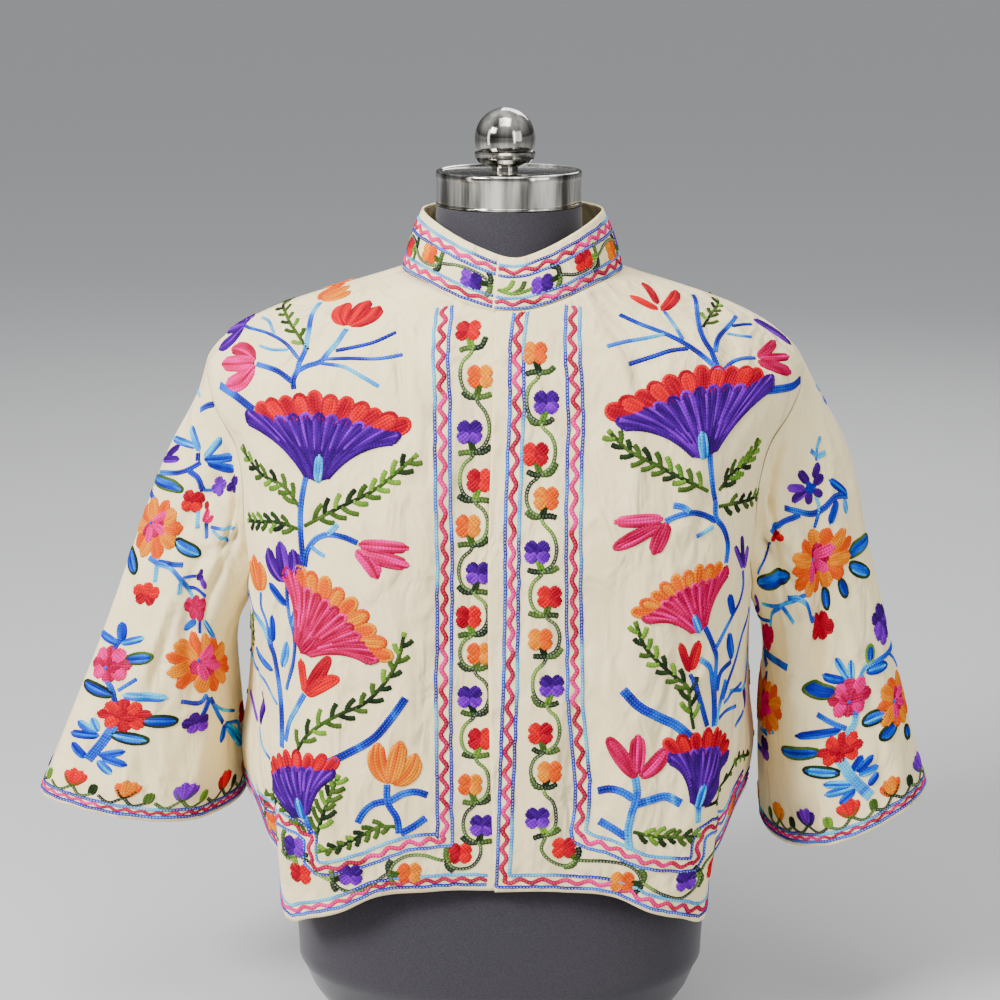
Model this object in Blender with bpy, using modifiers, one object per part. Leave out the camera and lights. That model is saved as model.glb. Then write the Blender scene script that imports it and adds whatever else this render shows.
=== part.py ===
"""An embroidered hip-length jacket on a limbless dress form, each cut piece of cloth a solid.

X runs across the chest, Y from front to back and Z up. The origin is the middle of the flat
underside that the dress form stands on, and the jacket's opening faces -Y.
"""

import math

import bmesh
import bpy
import numpy as np

MM = 0.001

# Driving sizes
WALL = 2.0 * MM  # cotton cloth, with the wool worked into it
SEAM_GAP = 0.6 * MM  # between two pieces at a seam
LAP_DROP = 2.7 * MM  # how far the lower layer lies under the upper one
LAP_FLAT = 21 * MM  # the lower layer stays under for this width
LAP_FADE = 40 * MM  # and comes back out over this one
UNDERLAP = 12 * MM  # the lower front runs this far past the middle
NECK_TOP = 706 * MM  # top of the dress form's neck, under the cap
CAP_TOP = 734 * MM
BALL_RADIUS = 24 * MM
BALL_CENTRE = CAP_TOP + 24.5 * MM

# The jacket's body, as rings at heights over the floor, in millimetres. front, side and back
# are the farthest points of a ring, side_back is where along Y it is widest, the two square
# columns say how square its quarters are, 2 being an ellipse, slant is how much narrower the
# ring is at its front than at its widest, and middle how far it lies to the viewer's right.
BODY_COLUMNS = (
    "level", "middle", "front", "side", "side_back", "back", "front_square", "back_square", "slant"
)
BODY_RINGS = (
    (120, -4, 122, 213, 50, 156, 9.0, 3.0, 0.25),
    (170, -4, 124, 214, 50, 154, 9.0, 3.0, 0.25),
    (205, -3, 126, 217, 46, 152, 9.0, 3.0, 0.24),
    (245, -2, 127, 220, 42, 148, 8.0, 3.0, 0.23),
    (290, -1, 128, 214, 38, 144, 6.5, 2.9, 0.19),
    (340, 0, 129, 210, 30, 140, 5.0, 2.8, 0.14),
    (400, 0, 130, 210, 16, 136, 4.0, 2.7, 0.08),
    (450, 0, 131, 211, 6, 133, 3.4, 2.6, 0.04),
    (500, 1, 127, 212, 0, 130, 3.0, 2.5, 0.01),
    (525, 2, 124, 218, 0, 127, 2.8, 2.4, 0.0),
    (550, 3, 120, 233, 0, 123, 2.6, 2.3, 0.0),
    (570, 4, 117, 239, 0, 119, 2.4, 2.2, 0.0),
    (586, 4, 114, 238, 0, 115, 2.2, 2.0, 0.0),
    (602, 4, 109, 225, 0, 110, 2.0, 1.9, 0.0),
    (618, 5, 102, 202, 0, 103, 1.9, 1.8, 0.0),
    (631, 7, 94, 172, 0, 96, 1.8, 1.8, 0.0),
    (643, 9, 87, 135, 0, 88, 1.8, 1.8, 0.0),
    (657, 10, 77, 88, 0, 77, 2.0, 2.0, 0.0),
    (690, 10, 45, 36, 0, 45, 2.0, 2.0, 0.0),
)
# Height of the hem, in millimetres, by its place from the middle of the front, 0, past the
# side seam, 1, to the middle of the back, 2
HEM_COLUMNS = ("place", "level")
HEM = (
    (-0.05, 176),
    (0.0, 176),
    (0.16, 176),
    (0.30, 170),
    (0.37, 158),
    (0.46, 148),
    (0.53, 140),
    (0.59, 152),
    (0.66, 176),
    (0.78, 192),
    (1.0, 200),
    (1.3, 198),
    (2.0, 188),
)
# Edge of each front at the opening: how far it reaches over the middle, in millimetres
EDGE_COLUMNS = ("level", "reach")
EDGE = ((140, 3), (300, 8), (450, 9), (560, 6), (660, 3))

NECK_LEVEL = 631 * MM  # the neck seam's level at the middle of the front, nearly

# Neck seam and the collar's top edge, seen from above, in millimetres
NECK_HALF_WIDTH, NECK_FRONT, NECK_BACK = 87 * MM, 91 * MM, 72 * MM
RIM_HALF_WIDTH, RIM_FRONT, RIM_BACK = 71.5 * MM, 74 * MM, 66 * MM
RIM_LEVEL_FRONT, RIM_LEVEL_SIDE, RIM_LEVEL_BACK = 671 * MM, 704 * MM, 707 * MM
COLLAR_BULGE = 1.5 * MM
COLLAR_OVER, COLLAR_UNDER = 0.162, 0.02  # radians that the collar's ends run past its middle
COLLAR_SINKS = (0.6, 0.2)  # between these turns before the middle, its lower end goes under

# Armhole: its highest and lowest point, and how far it cuts into the front and the back
ARMHOLE_TOP, ARMHOLE_BOTTOM = 586 * MM, 378 * MM
ARMHOLE_BITE_FRONT, ARMHOLE_BITE_BACK = 58 * MM, 56 * MM

# A sleeve from the armhole, 0, to the cuff, 1, in millimetres. outer is its upper line, which
# carries on from the shoulder, inner its underarm line, and the two back columns say how far
# behind the middle they hang.
SLEEVE_COLUMNS = (
    "place", "outer", "outer_level", "inner", "inner_level", "outer_back", "inner_back", "front", "back"
)
SLEEVE_LEFT = (
    (0.0, 238, 586, 211, 378, 0, 0, 58, 56),
    (0.07, 246, 560, 218, 364, 2, 8, 57, 57),
    (0.20, 269, 514, 223, 342, 3, 24, 56, 56),
    (0.42, 301, 429, 224, 304, 5, 52, 58, 50),
    (0.65, 334, 343, 223, 258, 6, 70, 64, 40),
    (0.83, 362, 277, 223, 221, 6, 76, 70, 34),
    (1.0, 389, 214, 223, 188, 6, 76, 74, 32),
)
SLEEVE_RIGHT = (
    (0.0, 238, 586, 211, 378, 0, 0, 58, 56),
    (0.07, 250, 564, 218, 362, 2, 8, 58, 57),
    (0.20, 279, 514, 223, 338, 3, 24, 58, 56),
    (0.42, 303, 429, 224, 296, 4, 50, 62, 50),
    (0.65, 325, 343, 224, 244, 4, 64, 72, 40),
    (0.83, 343, 277, 226, 200, 4, 68, 80, 34),
    (1.0, 360, 220, 229, 163, 4, 66, 84, 32),
)
SLEEVE_EGG = 0.35  # how much fuller a sleeve is near its underarm line
SLEEVE_SETTLES = 0.42  # place where a sleeve has left the armhole's own outline
SLEEVE_FOLDS_FROM = 0.06  # place from which its folds are at their full depth

# Largest folds of the body: side -1 is the viewer's left, a fold runs from one place and
# level to another, half_width and depth in millimetres, depth below 0 being a hollow
PLACE_STEP = 310 * MM  # cloth from one whole place to the next, near enough for the folds
FOLD_COLUMNS = ("side", "place_low", "level_low", "place_high", "level_high", "half_width", "depth")
BODY_FOLDS = (
    (-1, 0.66, 150, 0.60, 300, 13, -6),
    (-1, 0.55, 130, 0.52, 330, 16, 5),
    (1, 0.64, 140, 0.60, 330, 12, -5),
    (1, 0.54, 130, 0.54, 360, 14, 5),
    (-1, 0.82, 420, 0.97, 545, 16, -5),
    (1, 0.80, 410, 0.95, 550, 16, -5),
    (-1, 1.28, 150, 1.24, 420, 26, 8),
    (-1, 1.52, 150, 1.50, 400, 24, -7),
    (-1, 1.76, 150, 1.74, 440, 26, 6),
    (1, 1.26, 150, 1.22, 410, 26, 7),
    (1, 1.50, 150, 1.50, 420, 25, -7),
    (1, 1.74, 150, 1.76, 400, 26, 6),
)
# Largest folds of the sleeves, by turn in degrees from the upper line over the front
SLEEVE_TURN_STEP = 75 * MM  # cloth for a radian of turn, near enough for the folds
SLEEVE_LENGTH = 330 * MM
SLEEVE_FOLD_COLUMNS = ("side", "turn_top", "place_top", "turn_low", "place_low", "half_width", "depth")
SLEEVE_FOLDS = (
    (-1, 62, 0.02, 112, 0.55, 13, -6),
    (-1, 130, 0.10, 120, 1.05, 20, 5),
    (-1, 300, 0.05, 265, 0.80, 20, -6),
    (1, 48, 0.0, 105, 0.50, 13, -9),
    (1, 118, 0.05, 128, 0.80, 18, 6),
    (1, 300, 0.05, 262, 0.85, 20, -6),
)

# Dress form below the shoulders, in millimetres, columns as for the jacket's body
FORM_COLUMNS = ("level", "front", "side", "back", "square")
FORM_RINGS = (
    (78, 113, 171, 113, 2.5),
    (140, 114, 171.5, 114, 2.5),
    (200, 104, 156, 108, 2.4),
    (275, 88, 129, 92, 2.3),
    (350, 100, 138, 97, 2.3),
    (400, 113, 148, 104, 2.3),
    (450, 121, 155, 109, 2.3),
    (500, 114, 163, 112, 2.3),
    (545, 106, 178, 108, 2.2),
    (575, 101, 187, 104, 2.0),
)
FORM_SHOULDER_END = ((592, 97, 189, 99, 1.9), (604, 93, 184, 95, 1.8))
FORM_BASE_ROUND = 95 * MM  # radius of the rounding above the flat underside
FORM_BASE_PARTS = (0.0, 0.04, 0.12, 0.26, 0.48, 0.74)  # heights of its rings, as parts of it
FORM_BASE_SQUARE = 2.4
FORM_MIDDLE_FROM = 200  # in millimetres: above it the form leans with the jacket's middle
FORM_SHOULDER_FROM, FORM_SHOULDER_TO = 612 * MM, 655 * MM  # here the shoulders follow the cloth
FORM_SHOULDER_HALF = 180 * MM  # and are no wider than this to either side
FORM_SHOULDER_ROWS = 7
FORM_NECK = ((664, 66), (672, 61.5), (682, 58.5))  # levels and radii of the neck's foot, in mm
FORM_SEAT = 3.9 * MM  # how far below the cloth's outer ridge the shoulders lie
FORM_EASE = 7.0 * MM  # how far the chest and back stay inside the cloth there
NECK_RADIUS = 57.5 * MM
NECK_MIDDLE = 7 * MM  # the neck and the cap stand this far to the viewer's right
FINIAL_MIDDLE = 4 * MM

# How far off the neighbours lie that a surface's direction is taken from: in place, level,
# turn and place along a sleeve
PLACE_NEAR, LEVEL_NEAR, TURN_NEAR, SLEEVE_NEAR = 0.008, 3 * MM, 0.02, 0.015

# Numbers of faces
FRONT_ACROSS, SIDE_ROWS, ARMHOLE_ROWS, SHOULDER_ROWS = 14, 7, 12, 4
BACK_ACROSS = 18
SLEEVE_ROUND, SLEEVE_ALONG = 2 * ARMHOLE_ROWS, 12
COLLAR_LONG, COLLAR_HIGH = 42, 3
FORM_ROUND, FORM_BODY_ROWS = 36, 14
TURNED_STEPS, BALL_STEPS = 28, 11


def columns(names, rows):
    """The table's columns by name, each a list of numbers."""
    return {name: [row[i] for row in rows] for i, name in enumerate(names)}


def smooth_through(xs, ys, at):
    """Cubic through the points xs, ys, read at the numbers in at."""
    xs, ys, at = np.array(xs, float), np.array(ys, float), np.asarray(at, float)
    step = np.diff(xs)
    rise = np.diff(ys) / step
    slope = np.empty(len(xs))
    slope[0], slope[-1] = rise[0], rise[-1]
    slope[1:-1] = (rise[:-1] * step[1:] + rise[1:] * step[:-1]) / (step[:-1] + step[1:])
    low = np.clip(np.searchsorted(xs, at) - 1, 0, len(step) - 1)
    span, run = step[low], np.clip(at, xs[0], xs[-1]) - xs[low]
    part = run / span
    a = slope[low] * span - (ys[low + 1] - ys[low])
    b = -slope[low + 1] * span + (ys[low + 1] - ys[low])
    return (1 - part) * ys[low] + part * ys[low + 1] + part * (1 - part) * (a * (1 - part) + b * part)


def ease(part):
    """0 to 1 with soft ends."""
    part = np.clip(part, 0.0, 1.0)
    return part * part * (3 - 2 * part)


def unit(vectors):
    """Vectors of length 1."""
    return vectors / np.maximum(np.linalg.norm(vectors, axis=-1, keepdims=True), 1e-12)


def quarter(side, reach, square, slant, steps=181):
    """A quarter of a ring, from its widest point to its farthest, as distances x and y."""
    turn = np.linspace(0, math.pi / 2, steps)
    radius = (np.cos(turn) ** square + np.sin(turn) ** square) ** (-1 / square)
    along = radius * np.sin(turn)
    return side * (1 - slant * along) * radius * np.cos(turn), reach * along


class BodySurface:
    """The jacket's body as one smooth surface, read by place and level."""

    LEVEL_STEP = 2.5 * MM
    SHARES = 120

    def __init__(self):
        table = columns(BODY_COLUMNS, BODY_RINGS)
        self.lowest = table["level"][0] * MM
        self.levels = np.arange(self.lowest, table["level"][-1] * MM, self.LEVEL_STEP)
        read = {
            name: smooth_through(np.array(table["level"]) * MM, table[name], self.levels)
            for name in BODY_COLUMNS[1:]
        }
        self.read = read
        shares = np.linspace(0, 1, self.SHARES + 1)
        rows, self.front_girth = [], []
        for i in range(len(self.levels)):
            side, depth = read["side"][i] * MM, read["side_back"][i] * MM
            front = quarter(side, read["front"][i] * MM + depth, read["front_square"][i], read["slant"][i])
            back = quarter(side, read["back"][i] * MM - depth, read["back_square"][i], 0.0)
            row = []
            for xs, ys in ((front[0][::-1], depth - front[1][::-1]), (back[0], depth + back[1])):
                run = np.concatenate([[0], np.cumsum(np.hypot(np.diff(xs), np.diff(ys)))])
                row.append(np.stack([np.interp(shares, run / run[-1], c) for c in (xs, ys)], axis=-1))
                if len(row) == 1:
                    self.front_girth.append(run[-1])
            rows.append(np.concatenate([row[0], row[1][1:]]))
        self.grid = np.array(rows)
        self.front_girth = np.array(self.front_girth)

    def middle(self, level):
        """How far the ring at a level lies to the viewer's right."""
        return np.interp(level, self.levels, self.read["middle"]) * MM

    def girth(self, level):
        """Length of cloth from the middle of the front to the side line."""
        return np.interp(level, self.levels, self.front_girth)

    def plain(self, place, level):
        """Points of the smooth surface on the viewer's right. A place below 0 is left of it."""
        place, level = np.broadcast_arrays(np.asarray(place, float), np.asarray(level, float))
        column = np.clip(np.abs(place), 0, 2) * self.SHARES
        row = np.clip((level - self.lowest) / self.LEVEL_STEP, 0, len(self.levels) - 1.001)
        i, j = row.astype(int), np.minimum(column.astype(int), 2 * self.SHARES - 1)
        u, v = (row - i)[..., None], (column - j)[..., None]
        grid = self.grid
        flat = (1 - u) * ((1 - v) * grid[i, j] + v * grid[i, j + 1])
        flat = flat + u * ((1 - v) * grid[i + 1, j] + v * grid[i + 1, j + 1])
        x = np.where(place < 0, -flat[..., 0], flat[..., 0])
        return np.stack([x, flat[..., 1], level], axis=-1)

    def level_over(self, x, y):
        """Height at which a ring passes over the point x, y of the plan, near the neck."""
        low, high = 595 * MM, 689 * MM
        for _ in range(40):
            middle = (low + high) / 2
            side = np.interp(middle, self.levels, self.read["side"]) * MM
            end, square = ("front", "front_square") if y < 0 else ("back", "back_square")
            reach = np.interp(middle, self.levels, self.read[end]) * MM
            power = np.interp(middle, self.levels, self.read[square])
            inside = (abs(x) / side) ** power + (abs(y) / reach) ** power < 1
            low, high = (middle, high) if inside else (low, middle)
        return low

    def place_over(self, x, y, level):
        """Place on the ring at that level that is nearest to x, y of the plan."""
        places = np.linspace(0, 2, 1201)
        points = self.plain(places, level)
        return places[np.argmin((points[:, 0] - abs(x)) ** 2 + (points[:, 1] - y) ** 2)]


BODY = BodySurface()


def along_fold(point, low, high, half_width, depth):
    """Height of a fold at the points: a soft ridge or hollow that fades out at its ends."""
    run = np.subtract(high, low)
    part = np.clip(((point - low) @ run) / (run @ run), 0, 1)
    away = np.linalg.norm(point - (np.asarray(low) + part[..., None] * run), axis=-1)
    return depth * np.exp(-((away / half_width) ** 2)) * ease(1.6 * (1 - part))


def body_relief(side, place, level):
    """How far the folds lift the body's cloth at a place and level."""
    point = np.stack([place * PLACE_STEP, level], axis=-1)
    lift = np.zeros(np.shape(place))
    for row in BODY_FOLDS:
        fold = dict(zip(FOLD_COLUMNS, row))
        if fold["side"] == side:
            low = np.array([fold["place_low"] * PLACE_STEP, fold["level_low"] * MM])
            high = np.array([fold["place_high"] * PLACE_STEP, fold["level_high"] * MM])
            lift = lift + along_fold(point, low, high, fold["half_width"] * MM, fold["depth"] * MM)
    return lift


def body_normal(place, level):
    """Outward direction of the smooth surface."""
    across = BODY.plain(place + PLACE_NEAR, level) - BODY.plain(place - PLACE_NEAR, level)
    up = BODY.plain(place, level + LEVEL_NEAR) - BODY.plain(place, level - LEVEL_NEAR)
    return unit(np.cross(across, up))


def shifted(points):
    """Points moved sideways with the ring at their height."""
    moved = np.array(points)
    moved[..., 0] += BODY.middle(moved[..., 2])
    return moved


def body_point(side, place, level):
    """Points on the outside of the jacket's body, folds included, on the given side."""
    place, level = np.broadcast_arrays(np.asarray(place, float), np.asarray(level, float))
    point = BODY.plain(place, level)
    point = point + body_normal(place, level) * body_relief(side, place, level)[..., None]
    return shifted(point * (side, 1, 1))


def body_outward(side, place, level):
    """Outward direction of the body's outside, folds included."""
    across = body_point(side, place + PLACE_NEAR, level) - body_point(side, place - PLACE_NEAR, level)
    up = body_point(side, place, level + LEVEL_NEAR) - body_point(side, place, level - LEVEL_NEAR)
    return unit(np.cross(across, up)) * side


def neck_seam(turn):
    """The neck seam's place and level, at a turn in radians from the middle of the front."""
    x, y = NECK_HALF_WIDTH * math.sin(turn), math.cos(turn)
    y = -NECK_FRONT * y if y > 0 else -NECK_BACK * y
    level = BODY.level_over(x, y)
    place = BODY.place_over(x, y, level)
    return (-place if x < 0 else place), level


def hem_level(place):
    """Height of the hem at a place."""
    table = columns(HEM_COLUMNS, HEM)
    return smooth_through(table["place"], table["level"], place) * MM


def armhole(turn):
    """Place and level of the armhole, at a turn in radians from its top over the front."""
    level = ARMHOLE_BOTTOM + (ARMHOLE_TOP - ARMHOLE_BOTTOM) * (1 + np.cos(turn)) / 2
    bite = np.where(np.sin(turn) > 0, ARMHOLE_BITE_FRONT, ARMHOLE_BITE_BACK)
    return 1 - np.sin(turn) * bite / BODY.girth(level), level


def patch(left, right, low, high):
    """Grid of (place, level) between four edge curves, rows upward, by blending the edges."""
    left, right, low, high = (np.asarray(edge, float) for edge in (left, right, low, high))
    t = np.linspace(0, 1, len(left))[:, None, None]
    run = np.concatenate([[0], np.cumsum(np.abs(np.diff(low[:, 0])))])
    s = (run / run[-1])[None, :, None]
    sides = (1 - s) * left[:, None] + s * right[:, None]
    ends = (1 - t) * low[None] + t * high[None]
    corners = (1 - s) * (1 - t) * low[0] + s * (1 - t) * low[-1] + (1 - s) * t * high[0] + s * t * high[-1]
    return sides + ends - corners


def outer_edge(sign=1):
    """Side seam, armhole and shoulder seam of a front, sign 1, or of the back, -1."""
    side_seam = [(1.0, z) for z in np.linspace(hem_level(1.0), ARMHOLE_BOTTOM, SIDE_ROWS + 1)[:-1]]
    turns = np.linspace(math.pi, 0, ARMHOLE_ROWS + 1) * sign
    around = list(zip(*armhole(turns)))
    neck_level = neck_seam(math.pi / 2)[1]
    shoulder = [(1.0, z) for z in np.linspace(ARMHOLE_TOP, neck_level, SHOULDER_ROWS + 1)[1:]]
    return side_seam + around + shoulder


def front_grid(side):
    """Places and levels of one front, rows from the hem up, columns from the opening out."""
    rows = SIDE_ROWS + ARMHOLE_ROWS + SHOULDER_ROWS + 1
    table = columns(EDGE_COLUMNS, EDGE)
    top_reach = (UNDERLAP if side < 0 else EDGE[-1][1] * MM) + side * BODY.middle(NECK_LEVEL)
    neck_turn = math.asin(top_reach / NECK_HALF_WIDTH)
    top = neck_seam(-neck_turn)[1]
    levels = np.linspace(hem_level(0.0), top, rows)
    reach = smooth_through(np.array(table["level"]) * MM, np.array(table["reach"]) * MM, levels)
    reach = (np.full(rows, UNDERLAP) if side < 0 else reach) + side * BODY.middle(levels)
    left = np.stack([-reach / BODY.girth(levels), levels], axis=-1)
    spread = np.linspace(0, 1, FRONT_ACROSS + 1) ** 1.12
    low_places = left[0, 0] + (1 - left[0, 0]) * spread
    low = np.stack([low_places, hem_level(low_places)], axis=-1)
    turns = -neck_turn + (math.pi / 2 + neck_turn) * spread
    high = np.array([neck_seam(turn) for turn in turns])
    left[-1, 0] = high[0, 0]
    return patch(left, outer_edge(), low, high)


def back_grid():
    """Places and levels of the back from the viewer's left side seam to the right one."""
    right = np.array(outer_edge(-1))
    left = right * (-1, 1) + (4, 0)
    low_places = np.linspace(left[0, 0], right[0, 0], BACK_ACROSS + 1)
    fold = 2 - np.abs(low_places - 2)
    low = np.stack([low_places, hem_level(fold)], axis=-1)
    turns = np.linspace(1.5 * math.pi, 0.5 * math.pi, BACK_ACROSS + 1)
    high = []
    for turn in turns:
        place, level = neck_seam(turn)
        high.append((4 + place if place < 0 else place, level))
    return patch(left, right, low, high)


def pull_in(points, edges):
    """Moves the named edges of a grid of points half a seam gap towards the inside."""
    moved = points.copy()
    half = SEAM_GAP / 2
    if "top" in edges:
        moved[-1] += unit(points[-2] - points[-1]) * half
    if "low" in edges:
        moved[0] += unit(points[1] - points[0]) * half
    if "right" in edges:
        moved[:, -1] += unit(points[:, -2] - points[:, -1]) * half
    if "left" in edges:
        moved[:, 0] += unit(points[:, 1] - points[:, 0]) * half
    return moved


def seam_direction(own, other, ridge):
    """Direction of a wall's end at a seam: halfway to the neighbour's on a ridge, else its own."""
    mixed = unit(own + ridge[..., None] * other)
    return mixed / np.maximum((mixed * own).sum(axis=-1, keepdims=True), 0.6)


def cloth_object(name, outside, outward, material, closed=False):
    """A wall of cloth under a grid of outside points, one closed solid.

    outward holds, for each point, the way from the inside of the cloth to its outside, one
    WALL long at length 1. closed joins the last column to the first.
    """
    inside = outside - outward * WALL
    rows, across = outside.shape[:2]
    mesh = bmesh.new()
    skins = [[[mesh.verts.new(p) for p in row] for row in skin] for skin in (outside, inside)]
    steps = across if closed else across - 1
    for skin, turned in zip(skins, (False, True)):
        for i in range(rows - 1):
            for j in range(steps):
                k = (j + 1) % across
                quad = [skin[i][j], skin[i][k], skin[i + 1][k], skin[i + 1][j]]
                mesh.faces.new(quad[::-1] if turned else quad)
    out, into = skins
    for j in range(steps):
        k = (j + 1) % across
        mesh.faces.new([into[0][j], into[0][k], out[0][k], out[0][j]])
        mesh.faces.new([out[-1][j], out[-1][k], into[-1][k], into[-1][j]])
    if not closed:
        for i in range(rows - 1):
            mesh.faces.new([into[i + 1][0], into[i][0], out[i][0], out[i + 1][0]])
            mesh.faces.new([out[i + 1][-1], out[i][-1], into[i][-1], into[i + 1][-1]])
    bmesh.ops.recalc_face_normals(mesh, faces=mesh.faces)
    bmesh.ops.triangulate(mesh, faces=mesh.faces)
    return finish_mesh(name, mesh, material)


def finish_mesh(name, mesh, material):
    """Puts a bmesh into a new smooth-shaded object of the collection."""
    data = bpy.data.meshes.new(name)
    mesh.to_mesh(data)
    mesh.free()
    data.shade_smooth()
    data.set_sharp_from_angle(angle=math.radians(50))
    data.materials.append(material)
    piece = bpy.data.objects.new(name, data)
    bpy.data.collections[COLLECTION].objects.link(piece)
    return piece


def sleeve_fold_relief(side, turn, place):
    """How far the folds lift a sleeve's cloth."""
    turn, place = np.broadcast_arrays(turn, place)
    point = np.stack([turn * SLEEVE_TURN_STEP, place * SLEEVE_LENGTH], axis=-1)
    lift = np.zeros(np.shape(turn))
    for row in SLEEVE_FOLDS:
        fold = dict(zip(SLEEVE_FOLD_COLUMNS, row))
        if fold["side"] == side:
            turns = [math.radians(fold[name]) * SLEEVE_TURN_STEP for name in ("turn_low", "turn_top")]
            runs = [fold[name] * SLEEVE_LENGTH for name in ("place_low", "place_top")]
            low, top = np.stack([turns, runs], axis=-1)
            lift = lift + along_fold(point, low, top, fold["half_width"] * MM, fold["depth"] * MM)
    return lift * ease(place / SLEEVE_FOLDS_FROM)


def sleeve_plain(side, turn, place):
    """Points of a smooth sleeve at a turn in radians from its upper line over the front."""
    turn, place = np.broadcast_arrays(np.asarray(turn, float), np.asarray(place, float))
    rows = columns(SLEEVE_COLUMNS, SLEEVE_LEFT if side < 0 else SLEEVE_RIGHT)
    read = {name: smooth_through(rows["place"], rows[name], place) * MM for name in SLEEVE_COLUMNS[1:]}
    first = {name: rows[name][0] * MM for name in SLEEVE_COLUMNS[1:]}

    def ring(size):
        """Ring between the upper and the underarm line, fuller towards the underarm."""
        share = (1 + np.cos(turn)) / 2
        full = np.sin(turn) * (1 - SLEEVE_EGG * np.cos(turn))
        deep = np.where(full > 0, size["front"], size["back"])
        x = size["inner"] + (size["outer"] - size["inner"]) * share
        z = size["inner_level"] + (size["outer_level"] - size["inner_level"]) * share
        y = size["inner_back"] + (size["outer_back"] - size["inner_back"]) * share - full * deep
        return np.stack([x, y, z], axis=-1)

    start = body_point(side, *armhole(turn))
    settled = ease(place / SLEEVE_SETTLES)[..., None]
    return ring(read) * (side, 1, 1) + (1 - settled) * (start - ring(first) * (side, 1, 1))


def sleeve_point(side, turn, place):
    """Points on the outside of a sleeve, folds included."""
    across = sleeve_plain(side, turn + TURN_NEAR, place) - sleeve_plain(side, turn - TURN_NEAR, place)
    before, after = np.clip(place - SLEEVE_NEAR, 0, 1), np.clip(place + SLEEVE_NEAR, 0, 1)
    along = sleeve_plain(side, turn, after) - sleeve_plain(side, turn, before)
    outward = unit(np.cross(across, along)) * side
    return sleeve_plain(side, turn, place) + outward * sleeve_fold_relief(side, turn, place)[..., None]


def sleeve_outward(side, turn, place):
    """Outward direction of a sleeve's outside, folds included."""
    across = sleeve_point(side, turn + TURN_NEAR, place) - sleeve_point(side, turn - TURN_NEAR, place)
    before, after = np.clip(place - SLEEVE_NEAR, 0, 1), np.clip(place + SLEEVE_NEAR, 0, 1)
    along = sleeve_point(side, turn, after) - sleeve_point(side, turn, before)
    return unit(np.cross(across, along)) * side


def armhole_seam(side, turn):
    """Outward directions of the body and the sleeve along the armhole, and where it is a ridge.

    The ridge is 1 where the sleeve turns down from the body's cloth, and 0 in the armpit.
    """
    body = body_outward(side, *armhole(turn))
    sleeve = sleeve_outward(side, turn, 0.0 * turn)
    away = unit(sleeve_point(side, turn, SLEEVE_FOLDS_FROM + 0 * turn) - sleeve_point(side, turn, 0 * turn))
    return body, sleeve, ease(0.5 - 3 * (body * away).sum(axis=-1))


def body_piece(name, side, grid, edges, material):
    """One cut piece of the jacket's body from its grid of places and levels.

    side is -1 or 1 for a front and 0 for the back, which has both sides.
    """
    place, level = grid[..., 0], grid[..., 1]
    if side:
        points, outward = body_point(side, place, level), body_outward(side, place, level)
    else:
        fold = 2 - np.abs(place - 2)
        halves = [(body_point(s, fold, level), body_outward(s, fold, level)) for s in (1, -1)]
        right = (place <= 2)[..., None]
        points, outward = (np.where(right, halves[0][i], halves[1][i]) for i in (0, 1))
    if side < 0:
        run = place * BODY.girth(level) - LAP_FLAT
        points = points - outward * (LAP_DROP * (1 - ease(run / LAP_FADE)))[..., None]
    points = pull_in(points, edges)
    armhole_rows = slice(SIDE_ROWS, SIDE_ROWS + ARMHOLE_ROWS + 1)
    turns = np.linspace(math.pi, 0, ARMHOLE_ROWS + 1) * (1 if side else -1)
    for column, arm_side in [(-1, side)] if side else [(-1, 1), (0, -1)]:
        body, sleeve, ridge = armhole_seam(arm_side, turns)
        outward[armhole_rows, column] = seam_direction(body, sleeve, ridge)
    return cloth_object(name, points, outward, material)


def sleeve_piece(name, side, material):
    """One sleeve, a tube from the armhole to the cuff."""
    turns = np.linspace(0, 2 * math.pi, SLEEVE_ROUND, endpoint=False)
    places = np.linspace(0, 1, SLEEVE_ALONG + 1) ** 1.15
    turn, place = np.meshgrid(turns, places)
    points, outward = sleeve_point(side, turn, place), sleeve_outward(side, turn, place)
    body, sleeve, ridge = armhole_seam(side, turns)
    outward[0] = seam_direction(sleeve, body, ridge)
    seam = unit(np.roll(points[0], -1, axis=0) - np.roll(points[0], 1, axis=0))
    away = points[1] - points[0]
    away = unit(away - seam * (away * seam).sum(axis=-1, keepdims=True))
    points[0] += away * SEAM_GAP
    order = slice(None, None, side)
    return cloth_object(name, points[:, order], outward[:, order], material, closed=True)


def collar_point(turn, height):
    """Points on the collar's outside by turn from the middle of the front and height, 0 to 1."""
    seam = []
    for one in turn:
        place, level = neck_seam(math.remainder(one, 2 * math.pi))
        seam.append(BODY.plain(place, level))
    seam = shifted(seam)
    front = np.cos(turn) > 0
    depth = np.where(front, RIM_FRONT, RIM_BACK)
    middle = np.where(front, RIM_LEVEL_FRONT, RIM_LEVEL_BACK)
    level = middle + (RIM_LEVEL_SIDE - middle) * (np.sin(turn) ** 2 + 0.02) ** 0.6 / 1.02**0.6
    across = RIM_HALF_WIDTH * np.sin(turn) + BODY.middle(level)
    rim = np.stack([across, -depth * np.cos(turn), level], axis=-1)
    height = np.asarray(height)[:, None, None]
    outward = unit(np.stack([np.sin(turn), -np.cos(turn), 0 * turn], axis=-1))
    points = (1 - height) * seam + height * rim
    points = points + outward * COLLAR_BULGE * 4 * height * (1 - height)
    under = ease((turn - 2 * math.pi + COLLAR_SINKS[0]) / (COLLAR_SINKS[0] - COLLAR_SINKS[1]))[None, :, None]
    return points - outward * LAP_DROP * under, np.broadcast_to(outward, points.shape)


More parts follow.
